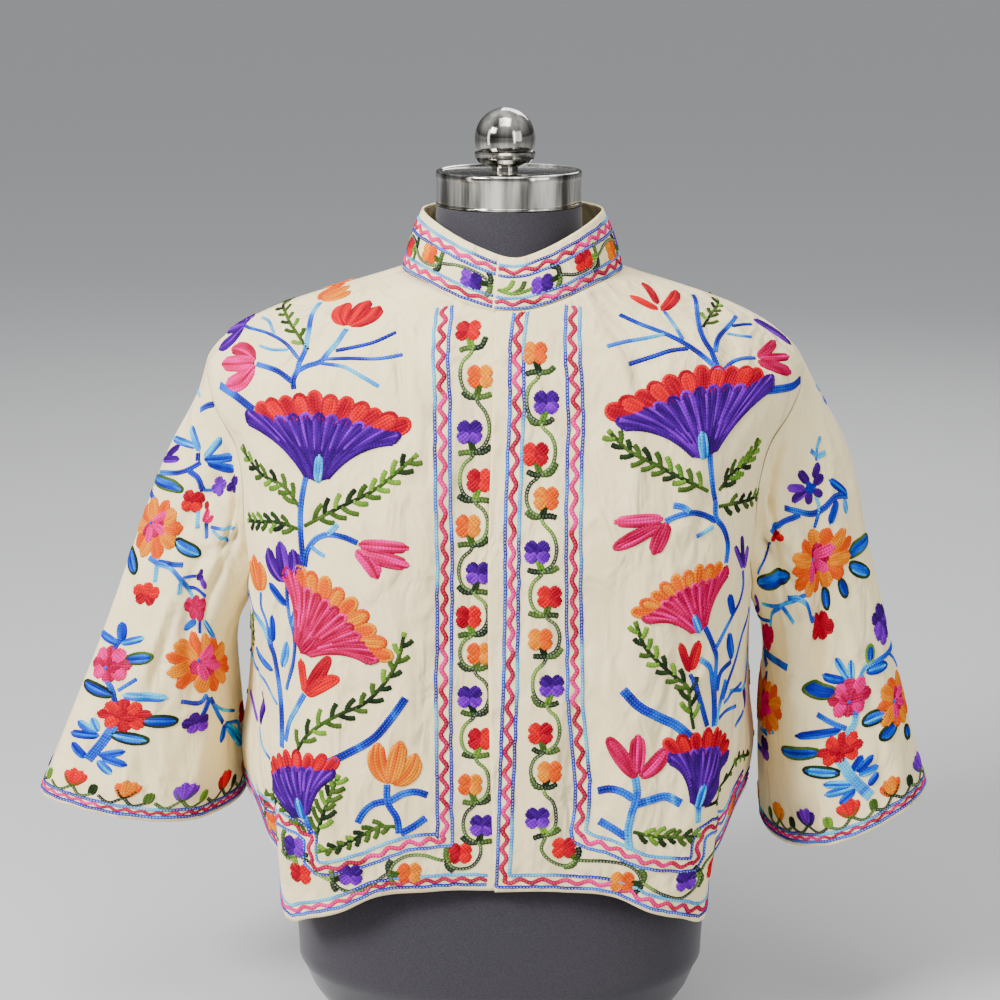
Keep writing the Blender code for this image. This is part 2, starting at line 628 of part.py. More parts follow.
def collar_piece(material):
    """The collar: one strip from its upper end at the opening round the neck to its lower end."""
    turns = np.linspace(-COLLAR_OVER, 2 * math.pi + COLLAR_UNDER, COLLAR_LONG + 1)
    heights = np.linspace(0, 1, COLLAR_HIGH + 1)
    points, outward = collar_point(turns, heights)
    points = pull_in(points, ("low",))
    points[0] += (0, 0, SEAM_GAP / 2)
    return cloth_object("collar", points, outward, material)


def form_rings():
    """The dress form's rings as rows of (level, front, side, back, square, middle), in metres."""
    table, table_end = columns(FORM_COLUMNS, FORM_RINGS), columns(FORM_COLUMNS, FORM_SHOULDER_END)
    base = {name: table[name][0] * MM for name in FORM_COLUMNS}
    rows = []
    for part in FORM_BASE_PARTS:
        level = FORM_BASE_ROUND * part
        inset = FORM_BASE_ROUND - math.sqrt(FORM_BASE_ROUND**2 - (FORM_BASE_ROUND - level) ** 2)
        sizes = (base["front"] - inset, base["side"] - inset, base["back"] - inset)
        rows.append((level, *sizes, FORM_BASE_SQUARE, 0.0))
    levels = np.linspace(table["level"][0], table["level"][-1], FORM_BODY_ROWS)
    read = [smooth_through(table["level"], table[name], levels) for name in FORM_COLUMNS[1:]]
    rounding = zip(*(table_end[name] for name in FORM_COLUMNS))
    for level, front, side, back, square in [*zip(levels, *read), *rounding]:
        middle = BODY.middle(level * MM) * (level > FORM_MIDDLE_FROM)
        rows.append((level * MM, front * MM, side * MM, back * MM, square, middle))
    for level in np.linspace(FORM_SHOULDER_FROM, FORM_SHOULDER_TO, FORM_SHOULDER_ROWS):
        cloth = level + FORM_SEAT
        names = ("front", "side", "back", "front_square")
        front, side, back, square = (np.interp(cloth, BODY.levels, BODY.read[name]) for name in names)
        side = min(side * MM, FORM_SHOULDER_HALF)
        rows.append((level, front * MM - FORM_EASE, side, back * MM - FORM_EASE, square, BODY.middle(cloth)))
    for level, radius in (*FORM_NECK, (NECK_TOP / MM, NECK_RADIUS / MM)):
        rows.append((level * MM, radius * MM, radius * MM, radius * MM, 2.0, NECK_MIDDLE))
    return rows


def form_body(material):
    """The limbless torso, from its flat underside to the top of the neck."""
    mesh = bmesh.new()
    rings = []
    turns = np.linspace(0, 2 * math.pi, FORM_ROUND, endpoint=False)
    for level, front, side, back, square, middle in form_rings():
        radius = (np.abs(np.cos(turns)) ** square + np.abs(np.sin(turns)) ** square) ** (-1 / square)
        depth = np.where(np.sin(turns) < 0, front, back)
        xs, ys = middle + side * radius * np.cos(turns), depth * radius * np.sin(turns)
        rings.append([mesh.verts.new((x, y, level)) for x, y in zip(xs, ys)])
    for lower, upper in zip(rings, rings[1:]):
        for j in range(FORM_ROUND):
            k = (j + 1) % FORM_ROUND
            mesh.faces.new([lower[j], lower[k], upper[k], upper[j]])
    mesh.faces.new(rings[0][::-1])
    mesh.faces.new(rings[-1])
    bmesh.ops.recalc_face_normals(mesh, faces=mesh.faces)
    return finish_mesh("form_body", mesh, material)


def turned(name, profile, middle, material):
    """A turned piece from its profile of (radius, height), which runs down the outer side."""
    data = bpy.data.meshes.new(name)
    verts = [(radius, 0, height) for radius, height in profile]
    data.from_pydata(verts, [(i, i + 1) for i in range(len(verts) - 1)], [])
    data.materials.append(material)
    piece = bpy.data.objects.new(name, data)
    bpy.data.collections[COLLECTION].objects.link(piece)
    piece.location.x = middle
    screw = piece.modifiers.new("Turn", "SCREW")
    screw.steps = screw.render_steps = TURNED_STEPS
    screw.use_merge_vertices = True
    screw.merge_threshold = 0.00005
    screw.use_smooth_shade = True
    return piece


def cap_profile():
    """Chrome cap: a flat top inside a slight rim, a straight band and a rolled lower edge."""
    top, low, radius = CAP_TOP, NECK_TOP + 0.3 * MM, 57.8 * MM
    return [
        (0, top - 1.0 * MM),
        (radius - 6 * MM, top - 1.0 * MM),
        (radius - 4 * MM, top - 0.2 * MM),
        (radius - 2 * MM, top),
        (radius - 0.5 * MM, top - 0.7 * MM),
        (radius, top - 2 * MM),
        (radius, top - 5 * MM),
        (radius - 0.6 * MM, top - 6 * MM),
        (radius - 0.6 * MM, low + 3 * MM),
        (radius, low + 2 * MM),
        (radius - 0.4 * MM, low),
        (0, low),
    ]


def cup_profile():
    """Dish that carries the ball: round seat, thin rim, flared underside and short stem."""
    seat = BALL_RADIUS + 0.4 * MM
    depth, rim = 17.5 * MM, 10.5 * MM
    rise = np.linspace(depth + 0.3 * MM, rim, 6)
    inner = [(math.sqrt(seat**2 - h**2), BALL_CENTRE - h) for h in rise]
    low = CAP_TOP - 1.0 * MM + 0.3 * MM
    outer = [(23.8, 14.5), (24.2, 13.2), (22.5, 9.5), (17, 6.0), (10.5, 3.6), (8.5, 2.6)]
    profile = [(0, BALL_CENTRE - depth - 0.3 * MM)] + inner
    profile += [(radius * MM, CAP_TOP + height * MM) for radius, height in outer]
    return profile + [(8.5 * MM, low), (0, low)]


def ball_profile():
    """Ball with a small flat below, where it is screwed to the dish."""
    flat = 17.5 * MM
    end = math.acos(-flat / BALL_RADIUS)
    turns = np.linspace(0, end, BALL_STEPS)
    arc = [(BALL_RADIUS * math.sin(t), BALL_CENTRE + BALL_RADIUS * math.cos(t)) for t in turns]
    return [(0, BALL_CENTRE + BALL_RADIUS)] + arc[1:] + [(0, BALL_CENTRE - flat)]


def material(name, colour, roughness, metallic=0.0):
    """A plain surface of one colour."""
    made = bpy.data.materials.new(name)
    made.use_nodes = True
    shader = made.node_tree.nodes["Principled BSDF"]
    shader.inputs["Base Color"].default_value = (*colour, 1)
    shader.inputs["Roughness"].default_value = roughness
    shader.inputs["Metallic"].default_value = metallic
    made.diffuse_color = (*colour, 1)
    return made


COLLECTION = "embroidered_jacket_on_dress_form"


def main():
    """Clears the file and models every piece."""
    for piece in list(bpy.data.objects):
        bpy.data.objects.remove(piece)
    collection = bpy.data.collections.new(COLLECTION)
    bpy.context.scene.collection.children.link(collection)
    cream = (0.80, 0.74, 0.63)
    form_body(material("form_cloth", (0.012, 0.012, 0.016), 0.9))
    chrome = ((0.72, 0.72, 0.72), 0.12, 1.0)
    turned("form_cap", cap_profile(), NECK_MIDDLE, material("cap_chrome", *chrome))
    turned("form_finial_cup", cup_profile(), FINIAL_MIDDLE, material("cup_chrome", *chrome))
    turned("form_finial_ball", ball_profile(), FINIAL_MIDDLE, material("ball_chrome", *chrome))
    seams = ("right", "top")
    body_piece("front_left", -1, front_grid(-1), seams, material("front_left_cloth", cream, 0.9))
    body_piece("front_right", 1, front_grid(1), seams, material("front_right_cloth", cream, 0.9))
    body_piece("back", 0, back_grid(), ("left", "right", "top"), material("back_cloth", cream, 0.9))
    sleeve_piece("sleeve_left", -1, material("sleeve_left_cloth", cream, 0.9))
    sleeve_piece("sleeve_right", 1, material("sleeve_right_cloth", cream, 0.9))
    collar_piece(material("collar_cloth", cream, 0.9))


main()
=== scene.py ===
"""An embroidered jacket on its dress form, dressed for the picture.

Lengths in tables are in millimetres and everything that reaches Blender is in metres, in the
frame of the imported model: X across the chest, Y from the front to the back, Z up.
"""

import logging
import math
from dataclasses import dataclass
from enum import Enum
from typing import ClassVar

import bpy
import numpy as np
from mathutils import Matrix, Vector

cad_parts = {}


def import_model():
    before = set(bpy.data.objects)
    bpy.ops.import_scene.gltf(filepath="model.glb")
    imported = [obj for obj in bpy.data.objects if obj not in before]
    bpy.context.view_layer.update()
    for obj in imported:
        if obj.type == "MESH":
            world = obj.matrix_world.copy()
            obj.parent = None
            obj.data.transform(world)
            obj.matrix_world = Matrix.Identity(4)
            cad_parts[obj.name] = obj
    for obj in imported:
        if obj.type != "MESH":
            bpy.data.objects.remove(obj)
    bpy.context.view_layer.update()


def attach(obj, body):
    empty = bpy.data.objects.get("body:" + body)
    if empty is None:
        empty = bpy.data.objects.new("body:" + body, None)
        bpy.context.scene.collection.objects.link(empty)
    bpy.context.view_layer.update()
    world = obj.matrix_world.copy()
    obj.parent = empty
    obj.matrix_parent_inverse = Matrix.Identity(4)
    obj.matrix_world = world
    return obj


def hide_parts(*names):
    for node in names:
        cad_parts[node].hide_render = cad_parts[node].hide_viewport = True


MM = 0.001
Array = np.ndarray
Material = bpy.types.Material
Socket = bpy.types.NodeSocket
Piece = bpy.types.Object
Profile = list[tuple[float, float]]
LOG = logging.getLogger("jacket")

# The jacket's body as rings over the floor: level, how far to the viewer's right, farthest
# front, half width, where along Y it is widest, farthest back, squareness of the front and
# back quarters and how much narrower the ring is at its front.
BODY_NAMES = ("level", "middle", "front", "side", "side_back", "back", "front_square", "back_square", "slant")
BODY_RINGS = (
    (120, -4, 122, 213, 50, 156, 9.0, 3.0, 0.25),
    (170, -4, 124, 214, 50, 154, 9.0, 3.0, 0.25),
    (205, -3, 126, 217, 46, 152, 9.0, 3.0, 0.24),
    (245, -2, 127, 220, 42, 148, 8.0, 3.0, 0.23),
    (290, -1, 128, 214, 38, 144, 6.5, 2.9, 0.19),
    (340, 0, 129, 210, 30, 140, 5.0, 2.8, 0.14),
    (400, 0, 130, 210, 16, 136, 4.0, 2.7, 0.08),
    (450, 0, 131, 211, 6, 133, 3.4, 2.6, 0.04),
    (500, 1, 127, 212, 0, 130, 3.0, 2.5, 0.01),
    (525, 2, 124, 218, 0, 127, 2.8, 2.4, 0.0),
    (550, 3, 120, 233, 0, 123, 2.6, 2.3, 0.0),
    (570, 4, 117, 239, 0, 119, 2.4, 2.2, 0.0),
    (586, 4, 114, 238, 0, 115, 2.2, 2.0, 0.0),
    (602, 4, 109, 225, 0, 110, 2.0, 1.9, 0.0),
    (618, 5, 102, 202, 0, 103, 1.9, 1.8, 0.0),
    (631, 7, 94, 172, 0, 96, 1.8, 1.8, 0.0),
    (643, 9, 87, 135, 0, 88, 1.8, 1.8, 0.0),
    (657, 10, 77, 88, 0, 77, 2.0, 2.0, 0.0),
    (690, 10, 45, 36, 0, 45, 2.0, 2.0, 0.0),
)
# Height of the hem by place: 0 the middle of the front, 1 the side seam, 2 the middle of the back
HEM = (
    (-0.05, 176), (0.0, 176), (0.16, 176), (0.30, 170), (0.37, 158), (0.46, 148), (0.53, 140),
    (0.59, 152), (0.66, 176), (0.78, 192), (1.0, 200), (1.3, 198), (2.0, 188),
)  # fmt: skip
# How far the viewer's right front reaches over the middle, by level
EDGE = ((140, 3), (300, 8), (450, 9), (560, 6), (660, 3))
SLEEVE_NAMES = (
    "place", "outer", "outer_level", "inner", "inner_level", "outer_back", "inner_back", "front", "back",
)  # fmt: skip
SLEEVE_RINGS = {
    -1: (
        (0.0, 238, 586, 211, 378, 0, 0, 58, 56),
        (0.07, 246, 560, 218, 364, 2, 8, 57, 57),
        (0.20, 269, 514, 223, 342, 3, 24, 56, 56),
        (0.42, 301, 429, 224, 304, 5, 52, 58, 50),
        (0.65, 334, 343, 223, 258, 6, 70, 64, 40),
        (0.83, 362, 277, 223, 221, 6, 76, 70, 34),
        (1.0, 389, 214, 223, 188, 6, 76, 74, 32),
    ),
    1: (
        (0.0, 238, 586, 211, 378, 0, 0, 58, 56),
        (0.07, 250, 564, 218, 362, 2, 8, 58, 57),
        (0.20, 279, 514, 223, 338, 3, 24, 58, 56),
        (0.42, 303, 429, 224, 296, 4, 50, 62, 50),
        (0.65, 325, 343, 224, 244, 4, 64, 72, 40),
        (0.83, 343, 277, 226, 200, 4, 68, 80, 34),
        (1.0, 360, 220, 229, 163, 4, 66, 84, 32),
    ),
}
# Folds that the solids have too: side, place and level of the low end, of the high end, half
# width and depth
BODY_FOLDS = (
    (-1, 0.66, 150, 0.60, 300, 13, -6),
    (-1, 0.55, 130, 0.52, 330, 16, 5),
    (1, 0.64, 140, 0.60, 330, 12, -5),
    (1, 0.54, 130, 0.54, 360, 14, 5),
    (-1, 0.82, 420, 0.97, 545, 16, -5),
    (1, 0.80, 410, 0.95, 550, 16, -5),
    (-1, 1.28, 150, 1.24, 420, 26, 8),
    (-1, 1.52, 150, 1.50, 400, 24, -7),
    (-1, 1.76, 150, 1.74, 440, 26, 6),
    (1, 1.26, 150, 1.22, 410, 26, 7),
    (1, 1.50, 150, 1.50, 420, 25, -7),
    (1, 1.74, 150, 1.76, 400, 26, 6),
)
# Smaller creases, in the same columns
BODY_CREASES = (
    (-1, 0.30, 190, 0.27, 330, 9, -1.5),
    (-1, 0.42, 210, 0.37, 300, 8, 1.7),
    (-1, 0.47, 330, 0.62, 392, 7, -1.9),
    (-1, 0.62, 372, 0.86, 436, 7, 2.2),
    (-1, 0.70, 300, 0.93, 352, 8, -2.4),
    (-1, 0.33, 470, 0.36, 560, 10, -1.4),
    (-1, 0.66, 520, 0.88, 572, 8, 1.7),
    (-1, 0.75, 230, 0.90, 262, 8, 2.0),
    (-1, 0.12, 330, 0.10, 470, 9, 1.0),
    (1, 0.31, 200, 0.29, 350, 9, 1.5),
    (1, 0.43, 190, 0.38, 290, 8, -1.7),
    (1, 0.50, 350, 0.68, 402, 7, 1.9),
    (1, 0.66, 330, 0.90, 396, 7, -2.4),
    (1, 0.72, 270, 0.95, 318, 8, 2.2),
    (1, 0.35, 480, 0.33, 575, 10, 1.4),
    (1, 0.60, 500, 0.84, 566, 8, -1.9),
    (1, 0.16, 250, 0.15, 420, 9, -1.0),
    (-1, 1.14, 230, 1.06, 330, 9, -2.2),
    (-1, 1.36, 380, 1.20, 470, 12, -3.1),
    (-1, 1.62, 430, 1.44, 540, 13, 2.7),
    (-1, 1.64, 170, 1.63, 300, 9, 2.0),
    (-1, 1.90, 180, 1.92, 360, 12, -2.4),
    (1, 1.12, 220, 1.05, 340, 9, 2.0),
    (1, 1.38, 370, 1.22, 480, 12, 2.9),
    (1, 1.60, 440, 1.42, 545, 13, -2.7),
    (1, 1.66, 170, 1.63, 310, 9, -2.0),
    (1, 1.88, 190, 1.90, 330, 12, 2.2),
    (-1, 0.50, 420, 0.48, 560, 12, -1.6),
    (-1, 0.24, 200, 0.25, 420, 14, 1.2),
    (-1, 0.58, 250, 0.66, 330, 9, 1.7),
    (1, 0.48, 430, 0.50, 575, 12, 1.5),
    (1, 0.25, 230, 0.22, 430, 14, -1.2),
    (1, 0.56, 240, 0.62, 340, 9, -1.7),
)
# Folds of the sleeves that the solids have too: side, turn in degrees and place of the upper
# end, of the lower end, half width and depth
SLEEVE_FOLDS = (
    (-1, 62, 0.02, 112, 0.55, 13, -6),
    (-1, 130, 0.10, 120, 1.05, 20, 5),
    (-1, 300, 0.05, 265, 0.80, 20, -6),
    (1, 48, 0.0, 105, 0.50, 13, -9),
    (1, 118, 0.05, 128, 0.80, 18, 6),
    (1, 300, 0.05, 262, 0.85, 20, -6),
)
SLEEVE_CREASES = (
    (-1, 30, 0.10, 48, 0.34, 9, -2.5),
    (-1, 88, 0.30, 70, 0.62, 8, 2.2),
    (-1, 140, 0.22, 95, 0.42, 8, -2.3),
    (-1, 60, 0.55, 50, 0.98, 11, -2.2),
    (-1, 96, 0.62, 102, 1.02, 9, 2.0),
    (-1, 340, 0.20, 320, 0.60, 12, 2.5),
    (-1, 230, 0.35, 250, 0.95, 12, 2.7),
    (1, 24, 0.08, 42, 0.36, 9, -2.2),
    (1, 80, 0.34, 66, 0.66, 8, 2.3),
    (1, 140, 0.20, 92, 0.36, 8, -2.7),
    (1, 64, 0.50, 58, 0.98, 11, -1.8),
    (1, 104, 0.60, 108, 1.02, 9, 2.3),
    (1, 336, 0.22, 318, 0.64, 12, 2.5),
    (1, 232, 0.35, 252, 0.95, 12, -2.7),
    (-1, 112, 0.05, 100, 0.30, 7, -2.0),
    (-1, 75, 0.72, 82, 1.02, 7, 1.7),
    (-1, 120, 0.50, 112, 0.86, 8, -1.9),
    (-1, 45, 0.30, 38, 0.62, 9, 1.8),
    (1, 98, 0.34, 106, 0.05, 5, -4.8),
    (1, 85, 0.36, 92, 0.06, 6, 2.4),
    (1, 52, 0.02, 84, 0.07, 4.5, -6.5),
    (1, 112, 0.17, 84, 0.07, 4, -5.5),
    (1, 82, 0.24, 104, 0.07, 4, -4.6),
    (1, 116, 0.27, 104, 0.06, 4, -4.8),
    (1, 40, 0.28, 48, 0.04, 6, -3.4),
    (1, 70, 0.72, 78, 0.34, 6, -3.8),
    (-1, 60, 0.42, 66, 0.10, 5, -4.2),
    (-1, 48, 0.03, 82, 0.07, 4.5, -5.5),
    (-1, 104, 0.20, 86, 0.07, 4, -4.8),
    (-1, 80, 0.30, 100, 0.07, 4, -4.2),
    (-1, 112, 0.36, 100, 0.06, 5, -4.4),
    (-1, 76, 0.80, 84, 0.40, 6, -3.8),
    (1, 72, 0.04, 75, 0.30, 6, -2.0),
    (1, 122, 0.55, 112, 0.92, 8, 1.9),
    (1, 48, 0.58, 55, 1.02, 8, 1.7),
)
# The dress form: level, front, half width, back and squareness
FORM_RINGS = (
    (78, 113, 171, 113, 2.5),
    (140, 114, 171.5, 114, 2.5),
    (200, 104, 156, 108, 2.4),
    (275, 88, 129, 92, 2.3),
    (350, 100, 138, 97, 2.3),
    (400, 113, 148, 104, 2.3),
    (450, 121, 155, 109, 2.3),
    (500, 114, 163, 112, 2.3),
    (545, 106, 178, 108, 2.2),
    (575, 101, 187, 104, 2.0),
)


def columns(names: tuple[str, ...], rows: tuple) -> dict[str, Array]:
    """Reads a table by its column names.

    Args:
        names: A name for each column.
        rows: The table's rows.

    Returns:
        The columns, as arrays of numbers.
    """
    return {name: np.array([row[i] for row in rows], float) for i, name in enumerate(names)}


def through(xs: Array, ys: Array, at: Array) -> Array:
    """Reads a smooth curve through points.

    Args:
        xs: Where the points are, rising.
        ys: The points' heights.
        at: Where to read.

    Returns:
        The curve's heights there.
    """
    xs, ys, at = np.array(xs, float), np.array(ys, float), np.asarray(at, float)
    step = np.diff(xs)
    rise = np.diff(ys) / step
    slope = np.empty(len(xs))
    slope[0], slope[-1] = rise[0], rise[-1]
    slope[1:-1] = (rise[:-1] * step[1:] + rise[1:] * step[:-1]) / (step[:-1] + step[1:])
    low = np.clip(np.searchsorted(xs, at) - 1, 0, len(step) - 1)
    span, run = step[low], np.clip(at, xs[0], xs[-1]) - xs[low]
    part = run / span
    a = slope[low] * span - (ys[low + 1] - ys[low])
    b = -slope[low + 1] * span + (ys[low + 1] - ys[low])
    return (1 - part) * ys[low] + part * ys[low + 1] + part * (1 - part) * (a * (1 - part) + b * part)


def ease(part: Array) -> Array:
    """0 to 1 with soft ends."""
    part = np.clip(part, 0.0, 1.0)
    return part * part * (3 - 2 * part)


def unit(vectors: Array) -> Array:
    """Vectors of length 1."""
    return vectors / np.maximum(np.linalg.norm(vectors, axis=-1, keepdims=True), 1e-12)


def lengths(path: Array) -> Array:
    """Length of a flat path up to each of its points."""
    return np.concatenate([[0], np.cumsum(np.hypot(*np.diff(path, axis=0).T))])


def read_path(path: Array, run: Array, at: Array) -> Array:
    """Reads a path between its points, where run, which rises from point to point, has the values at."""
    return np.stack([np.interp(at, run, path[:, k]) for k in range(path.shape[1])], axis=-1)


def leftward(ahead: Array) -> Array:
    """Flat directions, turned a quarter to their left."""
    return np.stack([-ahead[:, 1], ahead[:, 0]], axis=-1)


def fold_height(point: Array, low: Array, high: Array, half_width: float, depth: float) -> Array:
    """Height of a fold that fades out at its ends.

    Args:
        point: Places on the flat cloth.
        low: The fold's deeper end.
        high: The end at which it fades.
        half_width: How wide it is to either side.
        depth: Its height, below 0 for a hollow.

    Returns:
        How far each place is lifted.
    """
    run = np.subtract(high, low)
    part = np.clip(((point - low) @ run) / (run @ run), 0, 1)
    away = np.linalg.norm(point - (np.asarray(low) + part[..., None] * run), axis=-1)
    return depth * np.exp(-((away / half_width) ** 2)) * ease(1.6 * (1 - part))


def normals_of(points: Array, flip: float = 1.0) -> Array:
    """Outward directions of a grid of points, from its own neighbours."""
    across, up = np.gradient(points, axis=1), np.gradient(points, axis=0)
    return unit(np.cross(across, up)) * flip


class JacketBody:
    """The smooth body of the jacket, its folds, its hem, neck and armholes."""

    STEP = 2.5 * MM
    SHARES = 120
    PLACE_STEP = 310 * MM
    NECK = (87 * MM, 91 * MM, 72 * MM)  # half width, front and back of the neck seam in plan
    ARMHOLE_TOP, ARMHOLE_BOTTOM = 586 * MM, 378 * MM
    BITE_FRONT, BITE_BACK = 58 * MM, 56 * MM
    NEAR_PLACE, NEAR_LEVEL = 0.008, 3 * MM  # how far off the neighbours lie that directions are taken from

    def __init__(self) -> None:
        """Reads the rings at every level."""
        table = columns(BODY_NAMES, BODY_RINGS)
        self.lowest = table["level"][0] * MM
        self.levels = np.arange(self.lowest, table["level"][-1] * MM, self.STEP)
        self.read = {
            name: through(table["level"] * MM, table[name], self.levels) for name in BODY_NAMES[1:]
        }
        shares = np.linspace(0, 1, self.SHARES + 1)
        rows, girths = [], []
        for i in range(len(self.levels)):
            at = {name: values[i] for name, values in self.read.items()}
            depth = at["side_back"]
            front = self.quarter(at["side"], at["front"] + depth, at["front_square"], at["slant"])
            back = self.quarter(at["side"], at["back"] - depth, at["back_square"], 0.0)
            row, girth = [], []
            for xs, ys in ((front[0][::-1], depth - front[1][::-1]), (back[0], depth + back[1])):
                run = np.concatenate([[0], np.cumsum(np.hypot(np.diff(xs), np.diff(ys)))])
                row.append(np.stack([np.interp(shares, run / run[-1], c) for c in (xs, ys)], axis=-1))
                girth.append(run[-1])
            rows.append(np.concatenate([row[0], row[1][1:]]) * MM)
            girths.append(girth)
        self.grid, self.girths = np.array(rows), np.array(girths) * MM

    @staticmethod
    def quarter(side: float, reach: float, square: float, slant: float) -> tuple[Array, Array]:
        """A quarter of a ring, from its widest point to its farthest.

        Args:
            side: Half width.
            reach: How far its farthest point is.
            square: 2 for round, more for squarer.
            slant: How much narrower it gets towards that point.

        Returns:
            Distances x and y.
        """
        turn = np.linspace(0, math.pi / 2, 181)
        radius = (np.cos(turn) ** square + np.sin(turn) ** square) ** (-1 / square)
        along = radius * np.sin(turn)
        return side * (1 - slant * along) * radius * np.cos(turn), reach * along

    def middle(self, level: Array) -> Array:
        """How far the ring at a level lies to the viewer's right."""
        return np.interp(level, self.levels, self.read["middle"]) * MM

    def girth(self, level: Array, half: int = 0) -> Array:
        """Cloth from the side line to the middle of the front, half 0, or of the back, 1."""
        return np.interp(level, self.levels, self.girths[:, half])

    def smooth(self, place: Array, level: Array) -> Array:
        """Points of the smooth surface on the viewer's right; a place below 0 is left of it.

        Args:
            place: Places, 0 the middle of the front, 1 the side seam, 2 the middle of the back.
            level: Levels, in metres.

        Returns:
            The points, from the middle of their rings.
        """
        place, level = np.broadcast_arrays(np.asarray(place, float), np.asarray(level, float))
        column = np.clip(np.abs(place), 0, 2) * self.SHARES
        row = np.clip((level - self.lowest) / self.STEP, 0, len(self.levels) - 1.001)
        i, j = row.astype(int), np.minimum(column.astype(int), 2 * self.SHARES - 1)
        u, v = (row - i)[..., None], (column - j)[..., None]
        flat = (1 - u) * ((1 - v) * self.grid[i, j] + v * self.grid[i, j + 1])
        flat = flat + u * ((1 - v) * self.grid[i + 1, j] + v * self.grid[i + 1, j + 1])
        x = np.where(place < 0, -flat[..., 0], flat[..., 0])
        return np.stack([x, flat[..., 1], level], axis=-1)

    def relief(self, side: int, place: Array, level: Array) -> Array:
        """How far folds and creases lift the cloth of one side.

        Args:
            side: -1 for the viewer's left, 1 for the right.
            place: Places, 0 the middle of the front, 1 the side seam, 2 the middle of the back.
            level: Levels, in metres.

        Returns:
            The lift at each place.
        """
        point = np.stack([place * self.PLACE_STEP, level], axis=-1)
        lift = np.zeros(np.shape(place))
        for fold in (*BODY_FOLDS, *BODY_CREASES):
            if fold[0] == side:
                low = np.array([fold[1] * self.PLACE_STEP, fold[2] * MM])
                high = np.array([fold[3] * self.PLACE_STEP, fold[4] * MM])
                lift = lift + fold_height(point, low, high, fold[5] * MM, fold[6] * MM)
        return lift

    def point(self, side: int, place: Array, level: Array) -> Array:
        """Points on the outside of the cloth of one side, folds included.

        Args:
            side: -1 for the viewer's left, 1 for the right.
            place: Places, 0 the middle of the front, 1 the side seam, 2 the middle of the back.
            level: Levels, in metres.

        Returns:
            The points.
        """
        place, level = np.broadcast_arrays(np.asarray(place, float), np.asarray(level, float))
        across = self.smooth(place + self.NEAR_PLACE, level) - self.smooth(place - self.NEAR_PLACE, level)
        up = self.smooth(place, level + self.NEAR_LEVEL) - self.smooth(place, level - self.NEAR_LEVEL)
        out = unit(np.cross(across, up))
        at = self.smooth(place, level) + out * self.relief(side, place, level)[..., None]
        at = at * (side, 1, 1)
        at[..., 0] += self.middle(level)
        return at

    def outward(self, side: int, place: Array, level: Array) -> Array:
        """Outward direction of the cloth of one side, folds included.

        Args:
            side: -1 for the viewer's left, 1 for the right.
            place: Places, 0 the middle of the front, 1 the side seam, 2 the middle of the back.
            level: Levels, in metres.

        Returns:
            Vectors of length 1.
        """
        before, after = place - self.NEAR_PLACE, place + self.NEAR_PLACE
        below, above = level - self.NEAR_LEVEL, level + self.NEAR_LEVEL
        across = self.point(side, after, level) - self.point(side, before, level)
        up = self.point(side, place, above) - self.point(side, place, below)
        return unit(np.cross(across, up)) * side

    def level_over(self, x: float, y: float) -> float:
        """Height at which the shoulders pass over a point of the plan.

        Args:
            x: How far from the middle.
            y: How far back, below 0 in front.

        Returns:
            The level.
        """
        low, high = 595 * MM, 689 * MM
        end, square = ("front", "front_square") if y < 0 else ("back", "back_square")
        for _ in range(34):
            middle = (low + high) / 2
            side, reach, power = (
                float(np.interp(middle, self.levels, self.read[name])) for name in ("side", end, square)
            )
            inside = (abs(x) / (side * MM)) ** power + (abs(y) / (reach * MM)) ** power < 1
            low, high = (middle, high) if inside else (low, middle)
        return low

    def neck_seam(self, turn: float) -> tuple[float, float]:
        """The neck seam's place and level.

        Args:
            turn: Turn in radians from the middle of the front.

        Returns:
            Its place and level there.
        """
        x, y = self.NECK[0] * math.sin(turn), math.cos(turn)
        y = -self.NECK[1] * y if y > 0 else -self.NECK[2] * y
        level = self.level_over(x, y)
        places = np.linspace(0, 2, 1201)
        points = self.smooth(places, level)
        place = places[np.argmin((points[:, 0] - abs(x)) ** 2 + (points[:, 1] - y) ** 2)]
        return (-place if x < 0 else place), level

    @staticmethod
    def hem(place: Array) -> Array:
        """Height of the hem at a place."""
        table = np.array(HEM, float)
        return through(table[:, 0], table[:, 1], place) * MM

    def armhole(self, turn: Array) -> tuple[Array, Array]:
        """The armhole's places and levels.

        Args:
            turn: Turns in radians from its top over the front.

        Returns:
            Its places and levels there.
        """
        level = self.ARMHOLE_BOTTOM + (self.ARMHOLE_TOP - self.ARMHOLE_BOTTOM) * (1 + np.cos(turn)) / 2
        bite = np.where(np.sin(turn) > 0, self.BITE_FRONT, self.BITE_BACK)
        return 1 - np.sin(turn) * bite / self.girth(level), level


